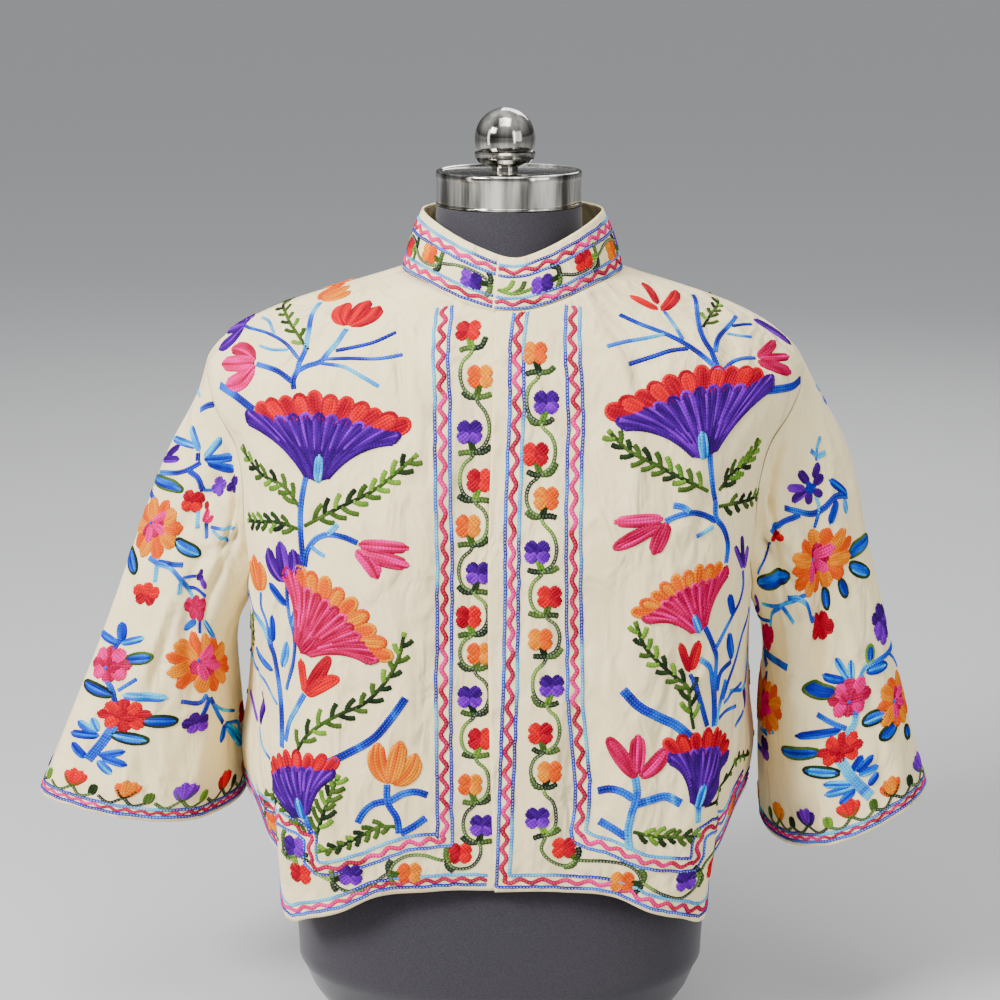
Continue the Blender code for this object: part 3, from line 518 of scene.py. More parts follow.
class JacketSleeve:
    """One sleeve, read by its turn from the upper line over the front and its place."""

    EGG = 0.35
    SETTLES = 0.42
    TURN_STEP = 75 * MM
    LENGTH = 330 * MM
    NEAR_TURN, NEAR_PLACE = 0.02, 0.015
    FLAT_UNTIL = 0.035  # folds rise over the first stretch from the armhole

    def __init__(self, side: int, body: JacketBody) -> None:
        """Keeps the side, -1 for the viewer's left, and the body that the sleeve starts from."""
        self.side, self.body = side, body
        self.rows = columns(SLEEVE_NAMES, SLEEVE_RINGS[side])

    def ring(self, size: dict[str, Array], turn: Array) -> Array:
        """Ring between the upper and the underarm line, fuller towards the underarm.

        Args:
            size: The ring's sizes by name, in millimetres.
            turn: Turns in radians from the upper line over the front.

        Returns:
            Its points.
        """
        share = (1 + np.cos(turn)) / 2
        full = np.sin(turn) * (1 - self.EGG * np.cos(turn))
        deep = np.where(full > 0, size["front"], size["back"])
        x = size["inner"] + (size["outer"] - size["inner"]) * share
        z = size["inner_level"] + (size["outer_level"] - size["inner_level"]) * share
        y = size["inner_back"] + (size["outer_back"] - size["inner_back"]) * share - full * deep
        return np.stack([x, y, z], axis=-1) * MM

    def smooth(self, turn: Array, place: Array) -> Array:
        """Points of the smooth sleeve.

        Args:
            turn: Turns in radians from the upper line over the front.
            place: Places down the sleeve, 0 the armhole and 1 the cuff.

        Returns:
            The points.
        """
        turn, place = np.broadcast_arrays(np.asarray(turn, float), np.asarray(place, float))
        read = {name: through(self.rows["place"], self.rows[name], place) for name in SLEEVE_NAMES[1:]}
        first = {name: self.rows[name][0] for name in SLEEVE_NAMES[1:]}
        start = self.body.point(self.side, *self.body.armhole(turn))
        settled = ease(place / self.SETTLES)[..., None]
        flip = (self.side, 1, 1)
        return self.ring(read, turn) * flip + (1 - settled) * (start - self.ring(first, turn) * flip)

    def relief(self, turn: Array, place: Array) -> Array:
        """How far folds and creases lift the sleeve's cloth.

        Args:
            turn: Turns in radians from the upper line over the front.
            place: Places down the sleeve, 0 the armhole and 1 the cuff.

        Returns:
            The lift at each place.
        """
        point = np.stack([turn * self.TURN_STEP, place * self.LENGTH], axis=-1)
        lift = np.zeros(np.shape(turn))
        for side, top_turn, top, low_turn, low, half_width, depth in (*SLEEVE_FOLDS, *SLEEVE_CREASES):
            if side == self.side:
                start = np.array([math.radians(low_turn) * self.TURN_STEP, low * self.LENGTH])
                end = np.array([math.radians(top_turn) * self.TURN_STEP, top * self.LENGTH])
                lift = lift + fold_height(point, start, end, half_width * MM, depth * MM)
        return lift * ease(place / self.FLAT_UNTIL)

    def point(self, turn: Array, place: Array) -> Array:
        """Points on the outside of the sleeve, folds included.

        Args:
            turn: Turns in radians from the upper line over the front.
            place: Places down the sleeve, 0 the armhole and 1 the cuff.

        Returns:
            The points.
        """
        turn, place = np.broadcast_arrays(np.asarray(turn, float), np.asarray(place, float))
        across = self.smooth(turn + self.NEAR_TURN, place) - self.smooth(turn - self.NEAR_TURN, place)
        before, after = np.clip((place - self.NEAR_PLACE, place + self.NEAR_PLACE), 0, 1)
        along = self.smooth(turn, after) - self.smooth(turn, before)
        out = unit(np.cross(across, along)) * self.side
        return self.smooth(turn, place) + out * self.relief(turn % (2 * math.pi), place)[..., None]


class JacketCollar:
    """The stand collar, by its turn from the middle of the front and its height, 0 to 1."""

    HALF_WIDTH, FRONT, BACK = 71.5 * MM, 74 * MM, 66 * MM
    LEVEL_FRONT, LEVEL_SIDE, LEVEL_BACK = 671 * MM, 704 * MM, 707 * MM
    BULGE = 1.5 * MM
    OVER, UNDER = 0.162, 0.02
    SINKS = (0.6, 0.2)
    DROP = 2.7 * MM

    def __init__(self, body: JacketBody) -> None:
        """Reads the neck seam all round once.

        Args:
            body: The body that the collar stands on.
        """
        self.turns = np.linspace(-0.4, 2 * math.pi + 0.4, 400)
        seam = []
        for turn in self.turns:
            place, level = body.neck_seam(math.remainder(turn, 2 * math.pi))
            point = body.smooth(place, level)
            seam.append(point + (body.middle(level), 0, 0))
        kernel = np.ones(9) / 9
        raw = np.array(seam)
        padded = np.concatenate([raw[:1].repeat(4, 0), raw, raw[-1:].repeat(4, 0)])
        self.seam = np.stack([np.convolve(padded[:, k], kernel, "valid") for k in range(3)], axis=-1)
        self.body = body

    def point(self, turn: Array, height: Array) -> Array:
        """Points on the outside of the collar.

        Args:
            turn: Turns in radians from the middle of the front.
            height: 0 the neck seam, 1 the upper edge.

        Returns:
            The points.
        """
        turn, height = np.broadcast_arrays(np.asarray(turn, float), np.asarray(height, float))
        seam = read_path(self.seam, self.turns, turn)
        front = np.cos(turn) > 0
        depth = np.where(front, self.FRONT, self.BACK)
        middle = np.where(front, self.LEVEL_FRONT, self.LEVEL_BACK)
        level = middle + (self.LEVEL_SIDE - middle) * (np.sin(turn) ** 2 + 0.02) ** 0.6 / 1.02**0.6
        across = self.HALF_WIDTH * np.sin(turn) + self.body.middle(level)
        rim = np.stack([across, -depth * np.cos(turn), level], axis=-1)
        out = self.outward(turn)
        up = height[..., None]
        points = (1 - up) * seam + up * rim + out * self.BULGE * 4 * up * (1 - up)
        under = ease((turn - 2 * math.pi + self.SINKS[0]) / (self.SINKS[0] - self.SINKS[1]))
        return points - out * self.DROP * under[..., None]

    @staticmethod
    def outward(turn: Array) -> Array:
        """Level outward directions."""
        return np.stack([np.sin(turn), -np.cos(turn), 0 * turn], axis=-1)


class Shell:
    """A thin wall of cloth, from a grid of points on its outside."""

    WALL = 1.5 * MM

    def __init__(self, name: str, outside: Array, flat: Array, flip: float, closed: bool = False) -> None:
        """Keeps the grid and finds its outward directions.

        Args:
            name: The piece's name.
            outside: Grid of points on its outside.
            flat: Their flat places, in metres.
            flip: 1 or -1, so that the outside faces out.
            closed: Whether its last column meets its first.
        """
        self.name, self.outside, self.flat, self.closed = name, outside, flat, closed
        if closed:
            wrapped = np.concatenate([outside[:, -1:], outside, outside[:, :1]], axis=1)
            self.out = normals_of(wrapped, flip)[:, 1:-1]
        else:
            self.out = normals_of(outside, flip)
        self.flip = flip

    def quads(self, rows: int, across: int, first: int, turned: bool) -> Array:
        """Four corners of each face of one skin, in order.

        Args:
            rows: Number of rows.
            across: Number of points in a row.
            first: Number of the skin's first point.
            turned: Whether its faces look the other way.

        Returns:
            Four point numbers for each face.
        """
        steps = across if self.closed else across - 1
        i, j = np.meshgrid(np.arange(rows - 1), np.arange(steps), indexing="ij")
        k = (j + 1) % across
        quad = np.stack([i * across + j, i * across + k, (i + 1) * across + k, (i + 1) * across + j], axis=-1)
        quad = quad.reshape(-1, 4) + first
        return quad[:, ::-1] if turned else quad

    def build(self, material: Material) -> Piece:
        """Makes the piece.

        Args:
            material: The cloth's finish.

        Returns:
            The new object, a closed shell with its flat places as its UV map.
        """
        rows, across = self.outside.shape[:2]
        count = rows * across
        inside = self.outside - self.out * self.WALL
        points = np.concatenate([self.outside.reshape(-1, 3), inside.reshape(-1, 3)])
        turned = self.flip < 0
        faces = [self.quads(rows, across, 0, turned), self.quads(rows, across, count, not turned)]
        steps = across if self.closed else across - 1
        j = np.arange(steps)
        k = (j + 1) % across
        last = (rows - 1) * across
        low = np.stack([count + j, count + k, k, j], axis=-1)
        top = np.stack([last + j, last + k, count + last + k, count + last + j], axis=-1)
        rims = [low, top]
        if not self.closed:
            i = np.arange(rows - 1)
            a, b = i * across, (i + 1) * across
            rims.append(np.stack([count + b, count + a, a, b], axis=-1))
            a, b = a + across - 1, b + across - 1
            rims.append(np.stack([b, a, count + a, count + b], axis=-1))
        faces += [rim[:, ::-1] if turned else rim for rim in rims]
        flat = np.concatenate([self.flat.reshape(-1, 2)] * 2)
        piece = mesh_piece(self.name, points, np.concatenate(faces), material)
        layer = piece.data.uv_layers.new(name="flat")
        corner = np.empty(len(piece.data.loops), np.int32)
        piece.data.loops.foreach_get("vertex_index", corner)
        layer.data.foreach_set("uv", flat[corner].astype(np.float32).ravel())
        return piece


def mesh_piece(name: str, points: Array, quads: Array, material: Material) -> Piece:
    """Puts points and four-cornered faces into a new smooth object.

    Args:
        name: The piece's name.
        points: Its points, in metres.
        quads: Four point numbers for each face.
        material: Its finish.

    Returns:
        The object, at the origin.
    """
    mesh = bpy.data.meshes.new(name)
    mesh.vertices.add(len(points))
    mesh.vertices.foreach_set("co", points.astype(np.float32).ravel())
    mesh.loops.add(quads.size)
    mesh.loops.foreach_set("vertex_index", quads.astype(np.int32).ravel())
    mesh.polygons.add(len(quads))
    mesh.polygons.foreach_set("loop_start", np.arange(0, quads.size, 4, dtype=np.int32))
    mesh.update(calc_edges=True)
    mesh.validate()
    mesh.shade_smooth()
    mesh.materials.append(material)
    piece = bpy.data.objects.new(name, mesh)
    bpy.context.scene.collection.objects.link(piece)
    return piece


def blend_patch(left: Array, right: Array, low: Array, high: Array) -> Array:
    """Fills the patch between four edge curves by blending them.

    Args:
        left: Left edge, upwards.
        right: Right edge, upwards.
        low: Lower edge, to the right.
        high: Upper edge, to the right.

    Returns:
        Grid of places and levels, rows upward.
    """
    left, right, low, high = (np.asarray(edge, float) for edge in (left, right, low, high))
    t = np.linspace(0, 1, len(left))[:, None, None]
    run = np.concatenate([[0], np.cumsum(np.abs(np.diff(low[:, 0])))])
    s = (run / run[-1])[None, :, None]
    sides = (1 - s) * left[:, None] + s * right[:, None]
    ends = (1 - t) * low[None] + t * high[None]
    corners = (1 - s) * (1 - t) * low[0] + s * (1 - t) * low[-1] + (1 - s) * t * high[0] + s * t * high[-1]
    return sides + ends - corners


class Dye(Enum):
    """Dyed wools, each as its deep and its light tone in 255ths."""

    CRIMSON = ((142, 0, 28), (174, 0, 32))
    VERMILION = ((186, 2, 20), (214, 8, 24))
    ORANGE = ((204, 66, 0), (222, 88, 0))
    AMBER = ((212, 106, 0), (230, 136, 0))
    MAGENTA = ((152, 0, 48), (186, 0, 78))
    PINK = ((204, 0, 88), (232, 0, 132))
    PURPLE = ((42, 0, 86), (64, 0, 120))
    LILAC = ((82, 0, 146), (118, 6, 190))
    ROYAL = ((16, 22, 126), (16, 42, 172))
    BLUE = ((12, 60, 176), (0, 98, 214))
    SKY = ((6, 132, 216), (70, 186, 226))
    NIGHT = ((20, 34, 20), (36, 54, 26))
    OLIVE = ((50, 74, 24), (70, 96, 36))
    LEAF = ((76, 116, 36), (108, 146, 44))

    def tones(self) -> Array:
        """Both tones as linear light."""
        shade = np.array(self.value, float) / 255
        return np.where(shade <= 0.04045, shade / 12.92, ((shade + 0.055) / 1.055) ** 2.4)


Shades = tuple[Dye, ...]
Place = tuple[float, float]
REDS: Shades = (Dye.CRIMSON, Dye.VERMILION)
ORANGES: Shades = (Dye.ORANGE, Dye.AMBER)
PINKS: Shades = (Dye.MAGENTA, Dye.PINK)
PURPLES: Shades = (Dye.PURPLE, Dye.LILAC)
BLUES: Shades = (Dye.ROYAL, Dye.BLUE)
SKIES: Shades = (Dye.BLUE, Dye.SKY)
GREENS: Shades = (Dye.NIGHT, Dye.OLIVE, Dye.LEAF)


class FlatMap:
    """Finds the place on a piece of cloth that belongs to a place on its flat cut."""

    def __init__(
        self, points: Array, across: Array, up: Array, flip: float, room: Array | None = None
    ) -> None:
        """Keeps the grid and finds its slopes.

        Args:
            points: Grid of points, rows upward.
            across: How far across each is on the flat cut, in metres.
            up: How far up each is there.
            flip: 1 or -1, so that directions point outward.
            room: How far inside the cloth's edges each is, if it has any.
        """
        self.room = np.full((*points.shape[:2], 1), 1.0) if room is None else room[..., None]
        self.points, self.out = points, normals_of(points, flip)
        self.flat = np.stack([across, up], axis=-1)
        self.by_row, self.by_column = np.gradient(self.flat, axis=0), np.gradient(self.flat, axis=1)
        self.flip = flip

    def read(self, grid: Array, row: Array, column: Array) -> Array:
        """Reads a grid between its points.

        Args:
            grid: Values at the points.
            row: Rows, with fractions.
            column: Columns, with fractions.

        Returns:
            The values there.
        """
        rows, across = grid.shape[:2]
        i = np.clip(row.astype(int), 0, rows - 2)
        j = np.clip(column.astype(int), 0, across - 2)
        u, v = (row - i)[:, None], (column - j)[:, None]
        low = (1 - v) * grid[i, j] + v * grid[i, j + 1]
        return (1 - u) * low + u * ((1 - v) * grid[i + 1, j] + v * grid[i + 1, j + 1])

    def find(self, flat: Array) -> tuple[Array, Array]:
        """Finds flat places in the grid.

        Args:
            flat: Flat places in metres.

        Returns:
            Their rows and columns, with fractions.
        """
        rows, across = self.points.shape[:2]
        row, column = np.full(len(flat), rows / 2.0), np.full(len(flat), across / 2.0)
        for _ in range(9):
            miss = flat - self.read(self.flat, row, column)
            a, b = self.read(self.by_row, row, column), self.read(self.by_column, row, column)
            whole = a[:, 0] * b[:, 1] - a[:, 1] * b[:, 0]
            row = row + (miss[:, 0] * b[:, 1] - miss[:, 1] * b[:, 0]) / whole
            column = column + (a[:, 0] * miss[:, 1] - a[:, 1] * miss[:, 0]) / whole
            row, column = np.clip(row, 0, rows - 1.0), np.clip(column, 0, across - 1.0)
        return row, column

    def room_at(self, flat: Array) -> Array:
        """How far inside the cloth's edges flat places in millimetres are, in millimetres."""
        return self.read(self.room, *self.find(flat * MM))[:, 0] / MM

    def lay(self, flat: Array, height: Array) -> Array:
        """Points over the cloth.

        Args:
            flat: Flat places in millimetres.
            height: How far over the cloth each is, in millimetres.

        Returns:
            The points in metres.
        """
        row, column = self.find(flat * MM)
        out = unit(self.read(self.out, row, column))
        return self.read(self.points, row, column) + out * (height * MM)[:, None]


def climbed(points: Array, rows: Array, level: float) -> Array:
    """Length of cloth up each column of a grid.

    Args:
        points: Grid of points, rows upward.
        rows: A value for each row.
        level: The row value at which the count equals it.

    Returns:
        The count at each point.
    """
    step = np.linalg.norm(np.diff(points, axis=0), axis=-1)
    run = np.concatenate([np.zeros((1, points.shape[1])), np.cumsum(step, axis=0)])
    start = np.array([np.interp(level, rows, run[:, j]) for j in range(points.shape[1])])
    return run - start + level


class JacketCloth:
    """All six cut pieces: their shells and the flat maps that the needlework is laid by."""

    SEAM = 0.3 * MM
    LAP_FLAT, LAP_FADE, LAP_DROP, UNDERLAP = 21 * MM, 40 * MM, 2.7 * MM, 12 * MM
    SIDE_ROWS, ARMHOLE_ROWS, SHOULDER_ROWS = 56, 72, 22
    LEVEL_AT = 450 * MM
    COLLAR_HEIGHT = 50 * MM
    COLLAR_SINKS, COLLAR_SINK = (0.95, 0.5), 1.15  # where its lapped end sinks, and how far of the lap's drop
    MAP_LEVELS = np.arange(128, 664, 3.5) * MM

    def __init__(self) -> None:
        """Makes the surfaces."""
        self.body = JacketBody()
        self.sleeves = {side: JacketSleeve(side, self.body) for side in (-1, 1)}
        self.collar = JacketCollar(self.body)

    def outer_edge(self, sign: int) -> list[tuple[float, float]]:
        """Side seam, armhole and shoulder seam in one line.

        Args:
            sign: 1 for a front, -1 for the back.

        Returns:
            Places and levels, upwards.
        """
        body = self.body
        low = [(1.0, z) for z in np.linspace(body.hem(1.0), body.ARMHOLE_BOTTOM, self.SIDE_ROWS + 1)[:-1]]
        turns = np.linspace(math.pi, 0, self.ARMHOLE_ROWS + 1) * sign
        neck = body.neck_seam(math.pi / 2)[1]
        top = [(1.0, z) for z in np.linspace(body.ARMHOLE_TOP, neck, self.SHOULDER_ROWS + 1)[1:]]
        return low + list(zip(*body.armhole(turns))) + top

    def lap(self, side: int, points: Array, out: Array, place: Array, level: Array) -> Array:
        """Sinks the lower front where the upper one lies on it.

        Args:
            side: -1 for the viewer's left, 1 for the right.
            points: Points of that front.
            out: Their outward directions.
            place: Places, 0 the middle of the front, 1 the side seam, 2 the middle of the back.
            level: Levels, in metres.

        Returns:
            The points, moved on the viewer's left alone.
        """
        if side > 0:
            return points
        run = place * self.body.girth(level) - self.LAP_FLAT
        return points - out * (self.LAP_DROP * (1 - ease(run / self.LAP_FADE)))[..., None]

    def front_places(self, side: int) -> Array:
        """Places and levels of one front, rows from the hem up, columns from the opening out.

        Args:
            side: -1 for the viewer's left, 1 for the right.

        Returns:
            Grid of places and levels.
        """
        body, across = self.body, 104
        rows = self.SIDE_ROWS + self.ARMHOLE_ROWS + self.SHOULDER_ROWS + 1
        neck_level = 631 * MM
        reach_top = self.UNDERLAP if side < 0 else EDGE[-1][1] * MM
        neck_turn = math.asin((reach_top + side * body.middle(neck_level)) / body.NECK[0])
        levels = np.linspace(body.hem(0.0), body.neck_seam(-neck_turn)[1], rows)
        edge = np.array(EDGE, float)
        reach = through(edge[:, 0] * MM, edge[:, 1] * MM, levels)
        reach = (np.full(rows, self.UNDERLAP) if side < 0 else reach) + side * body.middle(levels)
        left = np.stack([-reach / body.girth(levels), levels], axis=-1)
        spread = np.linspace(0, 1, across + 1)
        low_places = left[0, 0] + (1 - left[0, 0]) * spread
        low = np.stack([low_places, body.hem(low_places)], axis=-1)
        high = np.array([body.neck_seam(t) for t in -neck_turn + (math.pi / 2 + neck_turn) * spread])
        left[-1, 0] = high[0, 0]
        return blend_patch(left, self.outer_edge(1), low, high)

    def front_flat(self, place: Array, level: Array) -> Array:
        """Flat places of a front, near enough for its weave."""
        return np.stack([place * self.body.girth(level), level], axis=-1)

    def front_points(self, side: int, place: Array, level: Array) -> Array:
        """Points on the outside of one front, lap included."""
        points = self.body.point(side, place, level)
        return self.lap(side, points, self.body.outward(side, place, level), place, level)

    def back_points(self, place: Array, level: Array) -> Array:
        """Points on the outside of the back, whose places run from 1 to 3."""
        halves = [self.body.point(side, 2 - np.abs(place - 2), level) for side in (1, -1)]
        return np.where((place <= 2)[..., None], halves[0], halves[1])

    def front_shell(self, side: int) -> Shell:
        """The shell of one front.

        Args:
            side: -1 for the viewer's left, 1 for the right.

        Returns:
            The shell.
        """
        grid = self.front_places(side)
        place, level = grid[..., 0], grid[..., 1]
        points = self.trim(self.front_points(side, place, level), ("right", "top"))
        name = "front_left_cloth" if side < 0 else "front_right_cloth"
        return Shell(name, points, self.front_flat(place, level), side)

    def back_shell(self) -> Shell:
        """The shell of the back.

        Returns:
            The shell.
        """
        right = np.array(self.outer_edge(-1))
        left = right * (-1, 1) + (4, 0)
        across = 132
        low_places = np.linspace(left[0, 0], right[0, 0], across + 1)
        low = np.stack([low_places, self.body.hem(2 - np.abs(low_places - 2))], axis=-1)
        high = []
        for turn in np.linspace(1.5 * math.pi, 0.5 * math.pi, across + 1):
            place, level = self.body.neck_seam(turn)
            high.append((4 + place if place < 0 else place, level))
        grid = blend_patch(left, right, low, high)
        place, level = grid[..., 0], grid[..., 1]
        points = self.trim(self.back_points(place, level), ("left", "right", "top"))
        flat = np.stack([(2 - place) * self.body.girth(level, 1), level], axis=-1)
        return Shell("back_cloth", points, flat, -1)

    def trim(self, points: Array, edges: tuple[str, ...]) -> Array:
        """Moves the named edges a little inwards, so that a seam shows as a fine line.

        Args:
            points: Grid of points.
            edges: Names of edges.

        Returns:
            The grid with those edges moved.
        """
        moved = points.copy()
        if "top" in edges:
            moved[-1] += unit(points[-2] - points[-1]) * self.SEAM
        if "right" in edges:
            moved[:, -1] += unit(points[:, -2] - points[:, -1]) * self.SEAM
        if "left" in edges:
            moved[:, 0] += unit(points[:, 1] - points[:, 0]) * self.SEAM
        return moved

    def sleeve_shell(self, side: int) -> Shell:
        """The shell of one sleeve, a tube from the cuff up to the armhole.

        Args:
            side: -1 for the viewer's left, 1 for the right.

        Returns:
            The shell.
        """
        turns = np.linspace(-math.pi, math.pi, 2 * self.ARMHOLE_ROWS, endpoint=False)
        turn, place = np.meshgrid(turns, np.linspace(1, 0, 128) ** 1.1)
        points = self.sleeves[side].point(turn, place)
        points[-1] += unit(points[-2] - points[-1]) * 3 * self.SEAM
        name = "sleeve_left_cloth" if side < 0 else "sleeve_right_cloth"
        flat = np.stack([turn * 70 * MM, (1 - place) * JacketSleeve.LENGTH], axis=-1)
        return Shell(name, points, flat, -side, closed=True)

    def hem_line(self, inset: float, low: float, high: float, half: int = 0) -> tuple[Place, ...]:
        """A line along the hem between two places, 0 the middle and 1 the side.

        Args:
            inset: How far above the hem.
            low: First place.
            high: Last place.
            half: 0 for a front, 1 for the back.

        Returns:
            Flat places in millimetres.
        """
        shares = np.linspace(low, high, 46)
        place = 2 - np.abs(shares) if half else np.abs(shares)
        level = self.body.hem(place)
        across = shares * self.body.girth(level, half) / MM
        return tuple(zip(across.tolist(), (level / MM + inset).tolist()))

    def collar_shell(self) -> Shell:
        """The shell of the collar.

        Returns:
            The shell.
        """
        turns = np.linspace(-JacketCollar.OVER, 2 * math.pi + JacketCollar.UNDER, 170)
        turn, height = np.meshgrid(turns, np.linspace(0, 1, 24))
        points = self.collar.point(turn, height)
        points[0] += unit(points[1] - points[0]) * self.SEAM
        sunk = ease((turns - 2 * math.pi + self.COLLAR_SINKS[0]) / self.COLLAR_SINKS[1])[:, None]
        points[0] -= unit(points[1] - points[0]) * sunk * self.LAP_DROP * self.COLLAR_SINK
        flat = np.stack([turn * 80 * MM, height * 60 * MM], axis=-1)
        return Shell("collar_cloth", points, flat, 1)

    def room(self, place: Array, level: Array, sign: int) -> Array:
        """How far inside its armhole, seams and hem a place is.

        Args:
            place: Places, 0 the middle of the front, 1 the side seam, 2 the middle of the back.
            level: Levels, in metres.
            sign: 1 for a front, -1 for the back.

        Returns:
            Distances in metres, below 0 outside.
        """
        body = self.body
        turns = np.linspace(math.pi, 0, 60) * sign
        hole, hole_level = body.armhole(turns)
        edge = np.interp(level, hole_level, hole, left=1.0, right=1.0)
        beside = (edge - place) * body.girth(level, 0) if sign > 0 else (place - edge) * body.girth(level, 1)
        seam = np.array([body.neck_seam(t) for t in np.linspace(0.0, math.pi / 2, 24)])
        if sign < 0:
            seam = np.array([body.neck_seam(t) for t in np.linspace(math.pi, math.pi / 2, 24)])[::-1]
        over = np.interp(place, seam[:, 0], seam[:, 1]) - level
        return np.minimum(np.minimum(beside, over), level - body.hem(place))

    def front_map(self, side: int) -> FlatMap:
        """Flat map of one front: across from the middle outwards, up from the floor.

        Args:
            side: -1 for the viewer's left, 1 for the right.

        Returns:
            The map.
        """
        place, level = np.meshgrid(np.linspace(-0.08, 1.0, 120), self.MAP_LEVELS)
        points = self.front_points(side, place, level)
        up = climbed(self.body.smooth(place, level), level[:, 0], self.LEVEL_AT)
        return FlatMap(points, place * self.body.girth(level), up, side, self.room(place, level, 1))

    def back_map(self) -> FlatMap:
        """Flat map of the back: across from its middle to the viewer's right, up from the floor.

        Returns:
            The map.
        """
        place, level = np.meshgrid(np.linspace(3.0, 1.0, 200), self.MAP_LEVELS)
        points = self.back_points(place, level)
        fold = 2 - np.abs(place - 2)
        up = climbed(self.body.smooth(fold, level), level[:, 0], self.LEVEL_AT)
        return FlatMap(points, (2 - place) * self.body.girth(level, 1), up, -1, self.room(fold, level, -1))

    def sleeve_map(self, side: int) -> FlatMap:
        """Flat map of one sleeve: across from its upper line over the front, up from the cuff.

        Args:
            side: -1 for the viewer's left, 1 for the right.

        Returns:
            The map.
        """
        turns, places = np.linspace(-math.pi, math.pi, 161), np.linspace(1, 0, 100)
        turn, place = np.meshgrid(turns, places)
        points = self.sleeves[side].point(turn, place)
        smooth = self.sleeves[side].smooth(turn, place)
        up = climbed(smooth, 1 - places, 0.0)
        step = np.linalg.norm(np.diff(smooth, axis=1), axis=-1)
        run = np.concatenate([np.zeros((len(places), 1)), np.cumsum(step, axis=1)], axis=1)
        return FlatMap(points, run - run[:, 80:81], up, -side)

    def collar_map(self) -> FlatMap:
        """Flat map of the collar: across from the middle to the viewer's right, up from the seam.

        Returns:
            The map.
        """
        turns = np.linspace(-JacketCollar.OVER, 2 * math.pi + JacketCollar.UNDER, 200)
        turn, height = np.meshgrid(turns, np.linspace(0, 1, 20))
        points = self.collar.point(turn, height)
        step = np.linalg.norm(np.diff(points[8], axis=0), axis=-1)
        run = np.concatenate([[0], np.cumsum(step)])
        run = run - np.interp(0.0, turns, run)
        return FlatMap(points, np.broadcast_to(run, turn.shape).copy(), height * self.COLLAR_HEIGHT, 1)


def bend(points: Array, step: float = 1.5) -> Array:
    """Smooth path through a few places.

    Args:
        points: The places.
        step: How far apart its points are.

    Returns:
        The path.
    """
    points = np.asarray(points, float)
    run = lengths(points)
    at = np.linspace(0, run[-1], max(3, int(run[-1] / step) + 1))
    return np.stack([through(run, points[:, k], at) for k in (0, 1)], axis=-1)


def aside(path: Array, distance: float) -> Array:
    """The path at a distance to its left, with its corners kept.

    Args:
        path: The path.
        distance: How far to its left.

    Returns:
        The new path.
    """
    step = unit(np.diff(path, axis=0))
    before, after = np.concatenate([step[:1], step]), np.concatenate([step, step[-1:]])
    middle = unit(before + after)
    stretch = 1 / np.maximum((middle * after).sum(axis=-1), 0.5)
    return path + leftward(middle) * (distance * stretch)[:, None]


def dense(path: Array, step: float = 2.0) -> Array:
    """The path with more points on its straight parts.

    Args:
        path: The path.
        step: How far apart points may be.

    Returns:
        The new path.
    """
    path = np.asarray(path, float)
    run = lengths(path)
    at = np.union1d(run, np.arange(0, run[-1], step))
    return read_path(path, run, at)


